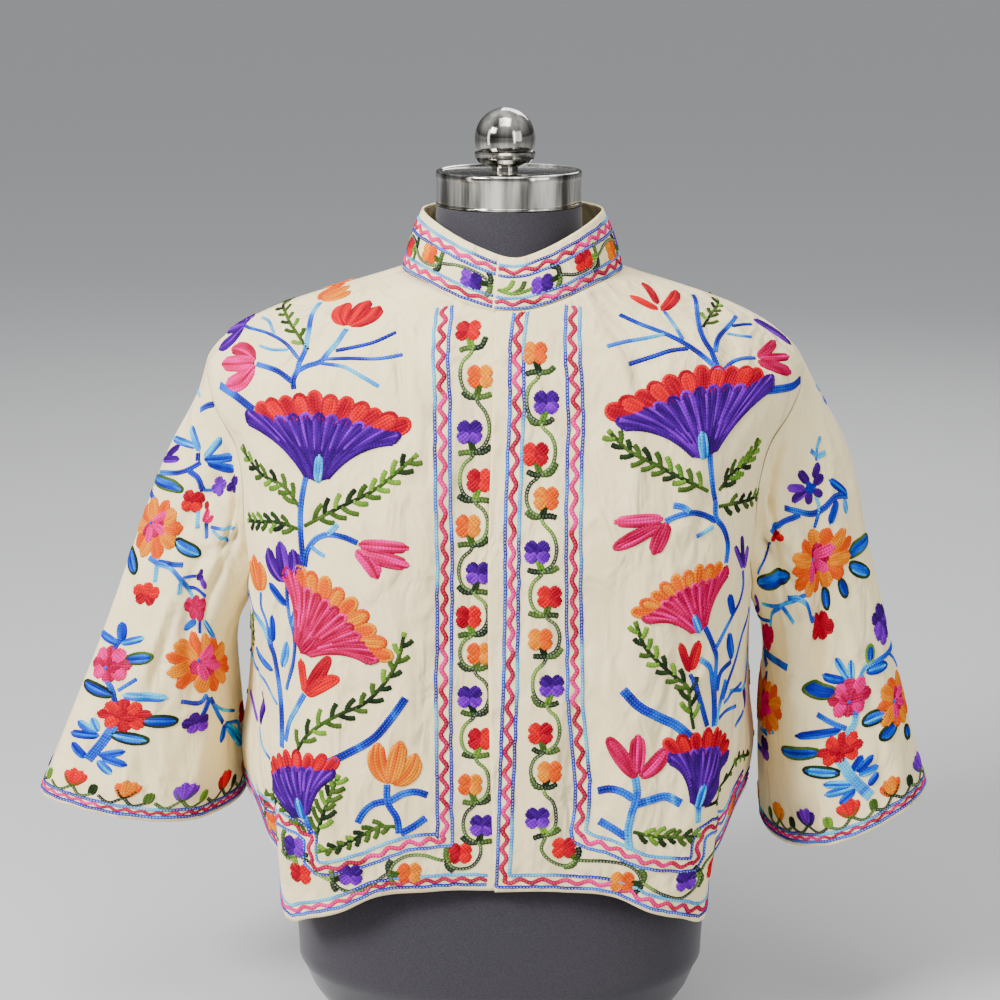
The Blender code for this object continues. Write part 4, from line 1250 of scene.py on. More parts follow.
class Needle:
    """Sews rows of chain stitch on the flat cut of one piece, then lays them over its cloth."""

    LINK = 2.6
    SPACING = 2.6
    JOINT_WIDTH, JOINT_HEIGHT = 0.82, 0.68
    END_WIDTH, END_HEIGHT = 0.66, 0.3
    SECTION = ((-1.0, 0.0), (-0.52, 0.92), (0.52, 0.92), (1.0, 0.0))
    SUNK = -0.15
    FILLING = 0.55
    INSIDE = 0.6  # wool nearer to the cloth's edge than this is left off

    def __init__(self, seed: int) -> None:
        """Starts with no rows; side is -1 while a drawing is sewn mirrored.

        Args:
            seed: Seed of its unevenness.
        """
        self.side = 1
        self.chance = np.random.default_rng(seed)
        self.flat: list[Array] = []
        self.height: list[Array] = []
        self.colour: list[Array] = []
        self.chain: list[Array] = []
        self.quads: list[Array] = []
        self.count = 0

    def row(
        self, path: Array, shades: Shades, width: float = 3.3, height: float = 1.0, lift: float = 0.0,
        loops: float = 0.0, drift: float = 55.0, joint: float = 1.0, phase: Array | None = None,
    ) -> None:  # fmt: skip
        """Sews one row.

        Args:
            path: Flat places in millimetres.
            shades: The dyes that the wool drifts between.
            width: The row's width.
            height: How proud it stands.
            lift: What it lies on top of.
            loops: How open its links are, 0 to 1.
            drift: Length of wool over which the dye changes.
            joint: How much the row narrows between its links.
            phase: Where in its changes the wool is, where rows share it.
        """
        path = np.asarray(path, float) * (self.side, 1)
        run = lengths(path)
        links = max(2, int(round(run[-1] / self.LINK)))
        steps = 2 if joint > self.FILLING else 1  # rows that fill lie close, so wool alone draws their links
        at = np.linspace(0, run[-1], steps * links + 1)
        points = read_path(path, run, at)
        ahead = unit(np.gradient(points, axis=0))
        side = leftward(ahead)
        nip = joint * (np.arange(len(at)) % 2 == 0) * (steps > 1)
        wide, high = 1 - nip * (1 - self.JOINT_WIDTH), 1 - nip * (1 - self.JOINT_HEIGHT)
        wide = wide * self.chance.uniform(0.94, 1.06, len(at))
        wide[[0, -1]], high[[0, -1]] = self.END_WIDTH, self.END_HEIGHT
        cross = np.array(self.SECTION)
        reach = (cross[:, 0] * width / 2)[None, :, None] * wide[:, None, None]
        flat = points[:, None] + side[:, None] * reach
        rise = (lift + height * high[:, None]) * np.where(cross[:, 1] > 0, cross[:, 1], 0)
        rise = np.where(cross[:, 1] > 0, rise, self.SUNK)
        self.flat.append(flat.reshape(-1, 2))
        self.height.append(rise.ravel())
        colour = self.tint(at, shades, drift, phase)
        self.colour.append(np.repeat(colour, len(cross), axis=0))
        chain = np.empty((len(at), len(cross), 3))
        chain[..., 0], chain[..., 1], chain[..., 2] = (at / self.LINK)[:, None], cross[:, 0], loops
        self.chain.append(chain.reshape(-1, 3))
        i, j = np.meshgrid(np.arange(len(at) - 1), np.arange(len(cross) - 1), indexing="ij")
        first = self.count + i * len(cross) + j
        quad = np.stack([first, first + len(cross), first + len(cross) + 1, first + 1], axis=-1)
        self.quads.append(quad.reshape(-1, 4)[:, ::-1])
        self.count += len(at) * len(cross)

    def tint(self, at: Array, shades: Shades, drift: float, phase: Array | None = None) -> Array:
        """Colour of the wool along a row.

        Args:
            at: Lengths along the row.
            shades: Its dyes.
            drift: Length over which they change.
            phase: Where in its changes the wool is.

        Returns:
            A colour for each length.
        """
        a, b, c = self.chance.uniform(0, 2 * math.pi, 3) if phase is None else phase
        tones = np.array([dye.tones() for dye in shades])
        wander = 0.5 + 0.5 * np.sin(at * 2 * math.pi / drift + a + 0.8 * np.sin(at / 19 + b))
        where = ease((wander - 0.25) / 0.5) * (len(shades) - 1)
        low = np.minimum(where.astype(int), max(len(shades) - 2, 0))
        part = (where - low)[:, None]
        tone = np.clip(0.5 + 0.5 * np.sin(at / 6.1 + c) + self.chance.normal(0, 0.14, len(at)), 0, 1)[:, None]
        deep = tones[low, 0] * (1 - part) + tones[np.minimum(low + 1, len(shades) - 1), 0] * part
        light = tones[low, 1] * (1 - part) + tones[np.minimum(low + 1, len(shades) - 1), 1] * part
        return deep * (1 - tone) + light * tone

    def strand(self, places: Array, shades: Shades, rows: int = 1, width: float = 3.3, **more: float) -> None:
        """Sews rows side by side along a smooth path through a few places.

        Args:
            places: The places.
            shades: The dyes.
            rows: Number of rows.
            width: Width of each.
            more: Anything else that a row takes.
        """
        path = bend(np.array(places, float))
        phase = self.chance.uniform(0, 2 * math.pi, 3)
        for k in range(rows):
            shift = (k - (rows - 1) / 2) * 0.74 * width
            self.row(aside(path, shift), shades, width, phase=phase, **more)

    def petal(
        self, base: Array, tip: Array, width: float, shades: Shades, rim: Shades = (), lift: float = 0.0,
        lean: float = 0.0, swell: float = 1.05,
    ) -> None:  # fmt: skip
        """Fills a petal with rows from its base to its tip.

        Args:
            base: Where it starts.
            tip: Where it ends.
            width: Its greatest width.
            shades: Its dyes.
            rim: Dyes of an outline, if it has one.
            lift: What it lies on top of.
            lean: How far its middle bows to the right, looking from base to tip.
            swell: Over 1 it is widest towards its tip, under 1 towards its base.
        """
        base, tip = np.array(base, float), np.array(tip, float)
        run = tip - base
        length = max(float(np.hypot(*run)), 1e-6)
        right = np.array([run[1], -run[0]]) / length

        def at(part: Array, off: Array) -> Array:
            """Flat places between the base and the tip.

            Args:
                part: How far from base to tip, 0 to 1.
                off: How far to the right, where the petal is widest.

            Returns:
                The places.
            """
            full = np.sin(math.pi * np.clip(part, 0, 1) ** swell) ** 0.42
            away = off * full + lean * 4 * part * (1 - part)
            return base + part[:, None] * run + away[:, None] * right

        inner = width - 3.0 if rim else width
        count = max(1, int(round(inner / self.SPACING)))
        pick = self.chance.integers(0, len(shades)) if len(shades) > 1 else 0
        for k in range(count):
            off = (2 * k + 1) / count - 1 if count > 1 else 0.0
            part = np.linspace(0.03 + 0.10 * off**2, 0.98 - 0.15 * off**2, 9)
            reach = np.full(9, off * (inner / 2 - 0.6))
            dye = shades[(pick + (k == count // 2 or self.chance.random() < 0.2)) % len(shades)]
            self.row(at(part, reach), (dye,), 3.5, lift=lift + 0.12 * (1 - abs(off)), joint=0.45)
        if rim:
            turn = np.linspace(0, 2 * math.pi, 25)
            part = 0.5 - 0.5 * np.cos(turn)
            edge = at(part, np.sign(np.sin(turn)) * (width / 2 - 1.4))
            self.row(edge, rim, 3.5, lift=lift + 0.12, joint=0.7)

    def lay(self, name: str, cloth: FlatMap, wool: Material) -> Piece:
        """Lays all the rows over the cloth as one piece.

        Args:
            name: The piece's name.
            cloth: Flat map of the piece of cloth.
            wool: The wool's finish.

        Returns:
            The new object.
        """
        points = cloth.lay(np.concatenate(self.flat), np.concatenate(self.height))
        quads = np.concatenate(self.quads)
        quads = quads[(cloth.room_at(np.concatenate(self.flat)) > self.INSIDE)[quads].all(axis=1)]
        if cloth.flip > 0:
            quads = quads[:, ::-1]
        piece = mesh_piece(name, points, quads, wool)
        for layer, values in (("dye", self.colour), ("chain", self.chain)):
            stack = np.concatenate(values)
            full = np.ones((len(stack), 4))
            full[:, :3] = stack
            made = piece.data.attributes.new(layer, "FLOAT_COLOR", "POINT")
            made.data.foreach_set("color", full.astype(np.float32).ravel())
        return piece


@dataclass(frozen=True)
class Grown:
    """A motif that grows from its base to its tip, both flat places in millimetres."""

    base: Place
    tip: Place
    shades: Shades

    HEIGHT: ClassVar[float] = 30.0  # height of the drawing that it is scaled from

    def at(self, *places: Place) -> Array:
        """Sets places of the drawing on the cloth.

        Args:
            places: Places in the drawing, x to the right and y up from the base.

        Returns:
            Flat places.
        """
        run = np.subtract(self.tip, self.base)
        right = np.array([run[1], -run[0]])
        drawn = np.array(places, float) / self.HEIGHT
        return np.array(self.base) + drawn[:, :1] * right + drawn[:, 1:] * run

    def size(self) -> float:
        """Scale of the drawing."""
        return float(np.hypot(*np.subtract(self.tip, self.base))) / self.HEIGHT


@dataclass(frozen=True)
class Tulip(Grown):
    """A cup of three or four petals."""

    spread: float = 13.0

    def sew(self, needle: Needle) -> None:
        """Sews it.

        Args:
            needle: What sews it.
        """
        s, w = self.size(), self.spread
        deep, light = self.shades[0], self.shades[-1]
        for sign, shades in ((-1, (deep, light)), (1, (deep, deep, light))):
            base, tip = self.at((sign * 1.0, 0.5), (sign * w, 25.0 + sign * 1.5))
            needle.petal(base, tip, 12.0 * s, shades, lean=sign * 4.0 * s, swell=1.15)
        base, tip = self.at((0, 0.5), (-1.5, 30))
        needle.petal(base, tip, 11.5 * s, (deep, light), lift=0.35)


@dataclass(frozen=True)
class Fan(Grown):
    """A spread flower: a cup of wedges with two wings and a ring of scallops over them."""

    crown: Shades = REDS
    flare: float = 1.0
    heart: Shades = SKIES
    scallops: int = 11

    HEIGHT: ClassVar[float] = 71.0
    ARCH: ClassVar[tuple[Place, ...]] = (
        (-59, 33), (-64, 40), (-51, 44), (-29, 49), (-5, 53), (18, 51.5), (39, 47), (64, 47), (62, 39),
    )  # fmt: skip
    WEDGES: ClassVar[int] = 13
    CUP: ClassVar[float] = 0.6  # half of the edge that is scalloped; the rest is its wings

    def edge(self, at: float) -> Array:
        """A place on the cup's upper edge.

        Args:
            at: How far along, 0 at its left end to 1 at its right.

        Returns:
            The place in the drawing.
        """
        arch = np.array(self.ARCH, float)
        run = lengths(arch)
        x, y = (float(through(run / run[-1], arch[:, k], np.clip(at, 0, 1))) for k in (0, 1))
        return np.array([x * self.flare, y])

    def line(self, f: float, first: float, last: float = 1.0) -> Array:
        """A row of the cup.

        Args:
            f: Which row, from -1 at its left side to 1 at its right.
            first: Where it starts, 0 the foot.
            last: Where it ends, 1 the upper edge.

        Returns:
            Places in the drawing.
        """
        end = self.edge((f + 1) / 2)
        start = np.array([f * 9 * self.flare**0.5, 3.5 * abs(f)])
        by = np.array([f * 29 * self.flare, 31 * abs(f) + 20 * (1 - abs(f))])
        t = np.linspace(first, last, 12)[:, None]
        return (1 - t) ** 2 * start + 2 * t * (1 - t) * by + t**2 * end

    def sew(self, needle: Needle) -> None:
        """Sews it.

        Args:
            needle: What sews it.
        """
        s = self.size()
        for k in range(self.scallops):
            x, y = self.edge(0.12 + 0.67 * k / (self.scallops - 1))
            away = unit(np.array([x + 3 * self.flare, y - 20]))
            reach = (15.5 + 1.2 * math.sin(k * 2.3)) * (0.9 + 0.1 * self.flare)
            foot, top = (x - away[0] * 7, y - away[1] * 7), (x + away[0] * reach, y + away[1] * reach)
            base, tip = self.at(foot, top)
            first = self.crown[k % 2 :] + self.crown[: k % 2]
            width = 14.5 * s * (0.45 + 0.55 * self.flare)
            needle.petal(base, tip, width, first[:1], rim=(first[-1],), lift=0.12 * (k % 2), swell=1.5)
        rows = int(round(136 * s * self.flare**0.6 / needle.SPACING))
        for k in range(rows):
            f = 2 * k / (rows - 1) - 1
            share = (k * self.WEDGES / rows) % 1
            last = 1.035 - 0.10 * abs(2 * share - 1) ** 2 if abs(f) < self.CUP else 1.0
            wedge = (self.shades[0], self.shades[0], self.shades[-1])[int(3 * share)]
            path = self.at(*self.line(f, (0.0, 0.42, 0.22, 0.5)[k % 4], last))
            needle.row(path, (wedge,), 3.6, lift=0.4 + 0.05 * (k % 3), joint=0.5)
        for edge in (-1, -0.95, 0.95, 1):
            path = self.at(*self.line(edge, 0.0, 1.0 if abs(edge) == 1 else 0.97))
            needle.row(path, (self.shades[0],), 4.4, lift=0.6, joint=0.6)
        for k in range(self.WEDGES):
            turn = np.linspace(-1, 1, 9)
            f = -1 + (2 * k + 1 + turn) / self.WEDGES
            if abs(f[4]) < self.CUP:
                ends = [self.line(one, 0.5, 1.0 - 0.09 * part**2)[-1] for one, part in zip(f, turn)]
                needle.row(self.at(*ends), (self.shades[-(k % 2)],), 3.4, lift=0.75, joint=0.6)
        for side in (0, 1):
            tips = [self.edge(abs(side - t)) for t in (0.0, 0.02, 0.04, 0.06, 0.09)]
            needle.row(self.at(*tips), (self.shades[0],), 4.0, lift=0.65, joint=0.6)
        base, tip = self.at((-1, -1), (-2, 22))
        needle.petal(base, tip, 9 * s, self.heart, lift=1.05)


@dataclass(frozen=True)
class Frond:
    """A fern: a rib with leaflets to both sides that shorten towards its tip."""

    path: tuple[Place, ...]
    leaf: float = 14.0
    pairs: int = 8
    shades: Shades = GREENS
    thick: float = 5.0

    def sew(self, needle: Needle) -> None:
        """Sews it.

        Args:
            needle: What sews it.
        """
        rib = bend(np.array(self.path, float))
        needle.row(rib, self.shades[:2], 3.8, drift=70)
        run = np.linspace(0, 1, len(rib))
        leaves = 2 * self.pairs + 2
        for k in range(leaves):
            sign = 1 if k % 2 else -1
            at = 0.07 + 0.90 * (k + 0.4) / leaves
            foot = read_path(rib, run, at)
            ahead = read_path(rib, run, min(at + 0.06, 1)) - foot
            if at > 0.93:
                ahead = rib[-1] - rib[-4]
            turn = math.atan2(ahead[1], ahead[0]) + sign * math.radians(needle.chance.uniform(42, 58))
            length = self.leaf * (1.18 - 0.42 * at) * needle.chance.uniform(0.85, 1.12)
            middle = foot + 0.55 * length * np.array([math.cos(turn), math.sin(turn)])
            turn -= sign * 0.35
            tip = middle + 0.5 * length * np.array([math.cos(turn), math.sin(turn)])
            dye = self.shades[int(needle.chance.integers(0, len(self.shades)))]
            needle.row(bend([foot, middle, tip], 1.2), (dye,), self.thick, 1.1, lift=0.05)
        needle.row(rib[-4:] + (rib[-1] - rib[-4]) * 0.8, self.shades[-1:], self.thick)


@dataclass(frozen=True)
class Strand:
    """Stems and branches: rows side by side along a smooth path."""

    path: tuple[Place, ...]
    shades: Shades = BLUES
    rows: int = 2
    width: float = 3.1

    def sew(self, needle: Needle) -> None:
        """Sews it."""
        needle.strand(self.path, self.shades, self.rows, self.width - 0.25 * (self.rows > 2), loops=0.12)


@dataclass(frozen=True)
class Blossom:
    """A small flower of a few petals round its middle."""

    middle: Place
    radius: float
    shades: Shades
    petals: int = 4
    turn: float = 45.0
    wide: float = 1.0

    def sew(self, needle: Needle) -> None:
        """Sews it.

        Args:
            needle: What sews it.
        """
        for k in range(self.petals):
            turn = math.radians(self.turn + 360 * k / self.petals)
            away = np.array([math.cos(turn) * self.wide, math.sin(turn)])
            dye = self.shades[k * len(self.shades) // self.petals]
            base, tip = np.array(self.middle) + away * 0.3, np.array(self.middle) + away * self.radius
            width = self.radius * (4.0 / self.petals) ** 0.7 * (0.4 + 0.6 * self.wide)
            needle.petal(base, tip, width, (dye,), lift=0.12 * (k % 2), swell=1.25)
        spot = np.array(self.middle)
        needle.row([spot - (1.6, 0), spot + (1.6, 0)], self.shades[:1], 4.6, joint=0.2)


@dataclass(frozen=True)
class Daisy:
    """A large flower: long petals, a ring of shorter strokes and a dot."""

    middle: Place
    radius: float
    outer: Shades = ORANGES
    inner: Shades = PINKS
    dot: Shades = (Dye.BLUE,)
    petals: int = 10
    wide: float = 1.0
    face: float = -40.0  # where its inner fan points, in degrees

    def sew(self, needle: Needle) -> None:
        """Sews it.

        Args:
            needle: What sews it.
        """
        centre, r = np.array(self.middle), self.radius

        def away(turn: float) -> Array:
            """From the centre to the outline, at a turn."""
            return np.array([math.cos(turn) * self.wide, math.sin(turn)]) * r

        for k in range(self.petals):
            turn = 2 * math.pi * (k + 0.3 + needle.chance.uniform(-0.12, 0.12)) / self.petals
            first = self.outer[k % 2 :] + self.outer[: k % 2]
            across = abs(math.sin(turn)) * self.wide + abs(math.cos(turn))
            width = 2 * math.pi * 0.80 * r / self.petals * (0.35 + 0.65 * across / 1.2)
            tip = centre + away(turn) * needle.chance.uniform(0.93, 1.04)
            needle.petal(centre + away(turn) * 0.16, tip, width, first[:1], lift=0.12 * (k % 2), swell=1.35)
        spot = centre - away(math.radians(self.face)) * 0.22
        width = 0.30 * r * (0.5 + 0.5 * self.wide)
        for k in range(6 if self.inner else 0):
            turn = math.radians(self.face + (k - 2.5) * 31)
            tip = spot + away(turn) * (0.52, 0.66)[k % 2]
            dye = (self.inner[k % len(self.inner)],)
            needle.petal(spot, tip, width, dye, lift=0.6 + 0.1 * (k % 2), swell=1.3)
        if self.dot:
            for turn in (0.0, 2.1, 4.2):
                way = np.array([math.cos(turn), math.sin(turn)])
                needle.row([spot - way * 1.6, spot + way * 1.6], self.dot, 4.0, lift=1.25, joint=0.3)


@dataclass(frozen=True)
class Petal:
    """One filled petal."""

    base: Place
    tip: Place
    width: float
    shades: Shades
    lean: float = 0.0
    rim: Shades = ()

    def sew(self, needle: Needle) -> None:
        """Sews it."""
        needle.petal(self.base, self.tip, self.width, self.shades, self.rim, lean=self.lean)


@dataclass(frozen=True)
class Leaf:
    """An outlined leaf."""

    base: Place
    tip: Place
    width: float
    rim: Shades
    fill: Shades

    def sew(self, needle: Needle) -> None:
        """Sews it."""
        needle.petal(self.base, self.tip, self.width, self.fill, rim=self.rim)


@dataclass(frozen=True)
class Vine:
    """A winding stem that passes its flowers by turns on either side."""

    path: tuple[Place, ...]
    flowers: tuple[tuple[float, Shades], ...]  # how far along each flower is, and its dyes
    first: int = 1
    sway: float = 9.5
    radius: float = 10.0

    def sew(self, needle: Needle) -> None:
        """Sews it.

        Args:
            needle: What sews it.
        """
        path = dense(self.path)
        run = lengths(path)
        ahead = unit(np.gradient(path, axis=0))

        def at(along: float, off: float) -> Array:
            """A place beside the path, or straight on past its ends.

            Args:
                along: How far along the path.
                off: How far to its left.

            Returns:
                The flat place.
            """
            spot, way = read_path(path, run, along), read_path(ahead, run, along)
            way = unit(way)
            return spot + off * np.array([-way[1], way[0]]) + (min(along, 0) + max(along - run[-1], 0)) * way

        sign = self.first
        for k, (place, shades) in enumerate(self.flowers):
            gap = (self.flowers[k + 1][0] - place) if k + 1 < len(self.flowers) else 37.0
            before = min(abs(gap), 38.0) * 0.41
            foot, top = place - before, place + gap - before
            tone = GREENS[k % 3], GREENS[(k + 1) % 3]
            out = self.sway * sign
            bends = (
                (foot, 0.0), (foot + 0.12 * gap, 0.75), (place, 1.15),
                (place + 0.35 * gap, 0.8), (top - 0.1 * gap, 0.2), (top, 0.0),
            )  # fmt: skip
            sweep = [at(along, out * part) for along, part in bends]
            if k + 1 < len(self.flowers):
                needle.strand(sweep, tone, 1, 3.5, loops=0.6)
            middle = at(place, -out * 0.42)
            stalk = at(place - 0.6 * self.radius, -out * 0.34)
            needle.strand([at(foot - 1, 0), at(foot + 2, -out * 0.12), stalk], tone[:1], 2, 3.3)
            slant = needle.chance.uniform((2.0, -1.5), (8.5, 3.5))
            for turn in (-1, 1):
                rise, reach = slant[int(turn * sign < 0)], needle.chance.uniform(9.5, 13.0)
                leaf = [at(foot, 0), at(foot + 0.3, turn * reach * 0.55), at(foot + rise, turn * reach)]
                needle.strand(leaf, (GREENS[(k + (turn > 0)) % 2],), 1, 5.6, loops=0.15)
            turn = -45.0 if (k * 7 + len(self.flowers)) % 3 else 45.0
            wide = 1.14 + 0.08 * needle.chance.random()
            Blossom(tuple(middle), self.radius, shades, 4, turn, wide).sew(needle)
            sign = -sign


@dataclass(frozen=True)
class Border:
    """A wavy row between two chain rows."""

    path: tuple[Place, ...]
    spacing: float = 6.3
    wave: float = 3.0
    length: float = 17.0
    left: Shades = (Dye.ROYAL, Dye.SKY)
    right: Shades = (Dye.BLUE, Dye.ROYAL)
    middle: Shades = (Dye.MAGENTA, Dye.CRIMSON, Dye.PINK)

    def sew(self, needle: Needle) -> None:
        """Sews it.

        Args:
            needle: What sews it.
        """
        path = np.array(self.path, float)
        for sign, shades in ((1, self.left), (-1, self.right)):
            line = dense(aside(path, sign * self.spacing))
            wobble = needle.chance.normal(0, 0.22, len(line))
            line = line + np.convolve(wobble, np.ones(5) / 2.2, "same")[:, None] * (1, 1)
            needle.row(line, shades, 3.4, 0.95, loops=0.8, drift=150)
        line = dense(path, 1.5)
        run = lengths(line)
        phase = run / self.length * 2 * math.pi + 0.9 * np.sin(run / 31 + needle.chance.uniform(0, 6))
        swing = 0.74 * self.wave * np.sin(phase) * (1 + 0.2 * np.sin(run / 47))
        ahead = unit(np.gradient(line, axis=0))
        line = line + leftward(ahead) * swing[:, None]
        needle.row(line, self.middle, min(4.3, 0.9 * self.spacing), 1.05, loops=0.15, drift=190, joint=0.7)


@dataclass(frozen=True)
class Creeper:
    """A low winding stem with a small tulip at every rise and a round leaf between."""

    places: tuple[tuple[float, Shades], ...]
    level: float = 18.0

    def sew(self, needle: Needle) -> None:
        """Sews it.

        Args:
            needle: What sews it.
        """
        for k, (place, shades) in enumerate(self.places):
            tone = (GREENS[k % 2],)
            low = self.level - 3
            for way in (-1, 1):
                stem = [(place + way * 21, low + 1), (place + way * 10, low - 3.5), (place, low + 3)]
                needle.strand(stem, tone, 1, 3.2, loops=0.4)
            needle.petal((place + 20, low - 1), (place + 19, low + 10), 9.0, (GREENS[(k + 1) % 3],))
            base = (place, low + 3)
            for turn, reach in ((-10, 12), (10, 12), (-4, 16), (4, 15)):
                end = (place + turn, low + 3 + reach)
                dye = shades[-1] if abs(turn) < 5 else shades[k % 2]
                needle.petal(base, end, 8.0, (dye,), lift=0.2 * (abs(turn) < 5), swell=1.2)
            cup = [(place - 8, low + 10), base, (place + 8, low + 10)]
            needle.strand(cup, tone, 1, 3.2, lift=0.3)


Sewn = Fan | Tulip | Frond | Strand | Petal | Leaf | Blossom | Daisy | Vine | Border | Creeper


FRONT_LEFT: tuple[Sewn, ...] = (
    Fan((143, 508), (142, 579), PURPLES),
    Strand(((164, 578), (165, 584), (162, 594), (161, 602))),
    Strand(((161, 601), (158, 611), (158, 628), (163, 663), (163, 679)), SKIES),
    Strand(((162, 604), (176, 618), (197, 628), (233, 632)), BLUES, 1, 4.2),
    Strand(((166, 584), (178, 591), (200, 596))),
    Strand(((162, 593), (154, 598), (143, 603), (138, 611), (132, 620), (126, 636)), SKIES),
    Strand(((132, 613), (119, 616), (101, 621), (85, 630)), (Dye.ROYAL,), 1, 4.6),
    Strand(((140, 605), (124, 606), (95, 606), (78, 609)), BLUES, 1, 4.0),
    Strand(((143, 601), (123, 598), (110, 591), (96, 583)), SKIES, 1, 4.0),
    Strand(((190, 628), (206, 644), (219, 646)), (Dye.SKY,), 1, 3.8),
    Strand(((173, 612), (188, 611), (202, 614)), (Dye.SKY,), 1, 3.6),
    Strand(((239, 575), (218, 568), (199, 559)), BLUES, 3),
    Tulip((126, 638), (118, 680), REDS, 10.5),
    Tulip((200, 597), (239, 590), PINKS, 12),
    Tulip((165, 682), (154, 716), ORANGES, 12),
    Tulip((233, 634), (266, 618), PURPLES, 15),
    Frond(((155, 613), (166, 627), (177, 640), (197, 661), (216, 668)), 11, 4),
    Frond(((155, 485), (170, 501), (194, 508), (219, 523)), 11, 6),
    Frond(((156, 470), (175, 473), (198, 470), (216, 467)), 10, 5),
    Frond(((153, 473), (127, 488), (96, 505), (67, 530)), 13, 8),
    Strand(((150, 519), (154, 501), (156, 485), (156, 469), (154, 445))),
    Strand(((153, 441), (150, 455), (144, 463), (134, 468), (120, 467), (109, 463)), BLUES, 2, 3.0),
    Strand(((134, 468), (129, 472), (125, 477)), (Dye.SKY,), 2, 3.0),
    Strand(((148, 458), (142, 454), (135, 451)), (Dye.SKY,), 1, 4.0),
    Petal((110, 462), (68, 460), 11, PINKS),
    Petal((111, 458), (93, 435), 14, PINKS, 3),
    Petal((109, 456), (68, 446), 13, PINKS),
    Strand(((169, 427), (169, 411), (167, 397), (164, 387), (163, 377), (169, 354),
        (174, 337)), BLUES, 1, 4.4),
    Tulip((169, 426), (177, 459), PURPLES, 11),
    Strand(((202, 412), (203, 399), (197, 391), (191, 376), (189, 360), (184, 340)), BLUES, 1, 4.0),
    Tulip((202, 412), (212, 441), ORANGES, 9),
    Petal((170, 407), (189, 423), 8, BLUES),
    Petal((165, 390), (158, 412), 7, SKIES),
    Petal((188, 373), (187, 397), 7.5, BLUES),
    Petal((191, 348), (248, 350), 7.5, BLUES),
    Petal((179, 354), (171, 378), 8.5, SKIES),
    Strand(((253, 398), (221, 392), (201, 385), (189, 371)), SKIES),
    Strand(((191, 376), (187, 355), (183, 335), (181, 320), (179, 288)), BLUES, 3),
    Strand(((156, 337), (163, 324), (170, 312), (174, 295)), SKIES),
    Strand(((310, 329), (270, 324), (206, 330), (187, 321)), SKIES, 1, 3.6),
    Frond(((289, 338), (245, 369), (231, 387)), 7, 3),
    Fan((158, 372), (115, 425), (Dye.MAGENTA, Dye.PINK), ORANGES, 0.82, (Dye.MAGENTA,), 9),
    Petal((156, 337), (158, 367), 9, (Dye.VERMILION,)),
    Petal((154, 337), (133, 370), 12, (Dye.CRIMSON,), 0, (Dye.CRIMSON,)),
    Petal((152, 337), (126, 354), 12, (Dye.VERMILION,), 2, (Dye.VERMILION,)),
    Petal((256, 281), (310, 292), 5.5, PURPLES),
    Petal((245, 283), (230, 318), 11, PURPLES),
    Strand(((249, 281), (239, 272), (208, 268)), SKIES, 1, 3.6),
    Frond(((165, 282), (153, 303), (137, 317), (122, 326), (106, 334), (94, 346), (84, 360),
        (78, 373), (74, 390)), 12, 9),
    Strand(((136, 283), (120, 292), (97, 307), (83, 325), (73, 340)), (Dye.ROYAL, Dye.BLUE, Dye.ROYAL), 3),
    Fan((155, 235), (174, 289), PURPLES, REDS, 0.76, SKIES, 8),
    Strand(((157, 259), (153, 238), (147, 223)), BLUES, 2),
    Frond(((143, 221), (138, 238), (133, 254), (126, 272)), 12, 5),
    Frond(((152, 224), (161, 234), (176, 242), (229, 229)), 8, 4),
    Tulip((84, 267), (78, 306), ORANGES, 11.5),
    Strand(((87, 268), (86, 252), (79, 240), (77, 227)), BLUES, 2, 3.6),
    Strand(((87, 254), (99, 250), (106, 243), (110, 235)), BLUES, 2, 3.6),
    Strand(((85, 254), (73, 261), (64, 262), (55, 259)), (Dye.ROYAL, Dye.BLUE), 2, 3.8),
    Strand(((76, 227), (67, 232), (56, 240)), BLUES, 2, 3.8),
    Frond(((79, 233), (92, 232), (102, 227), (113, 221), (125, 214), (140, 210)), 8.5, 6),
    Border(((51, 654), (47, 558), (42, 451), (44, 338), (41, 222), (41, 221), (54, 220), (72, 218),
        (85, 213), (100, 205), (115, 200), (131, 195), (142, 194), (148, 199), (148, 209), (148, 220),
        (159, 227), (177, 230), (234, 218), (264, 218)), 5.6, 2.6),
    Vine(((248, 216), (218, 207), (167, 210), (158, 193), (149, 182), (131, 184), (116, 186),
        (93, 191), (72, 196), (48, 202), (27, 205), (15, 215), (16, 237), (18, 267), (20, 374),
        (21, 511), (23, 590), (27, 640)), ((25, ORANGES), (85, PURPLES), (107, REDS), (151, PURPLES),
        (197, ORANGES), (241, REDS), (273, PURPLES), (308, ORANGES), (346, REDS), (381, PURPLES),
        (416, ORANGES), (446, REDS), (481, PURPLES), (518, ORANGES), (553, REDS), (590, PURPLES),
        (632, ORANGES), (670, REDS)), -1),
)

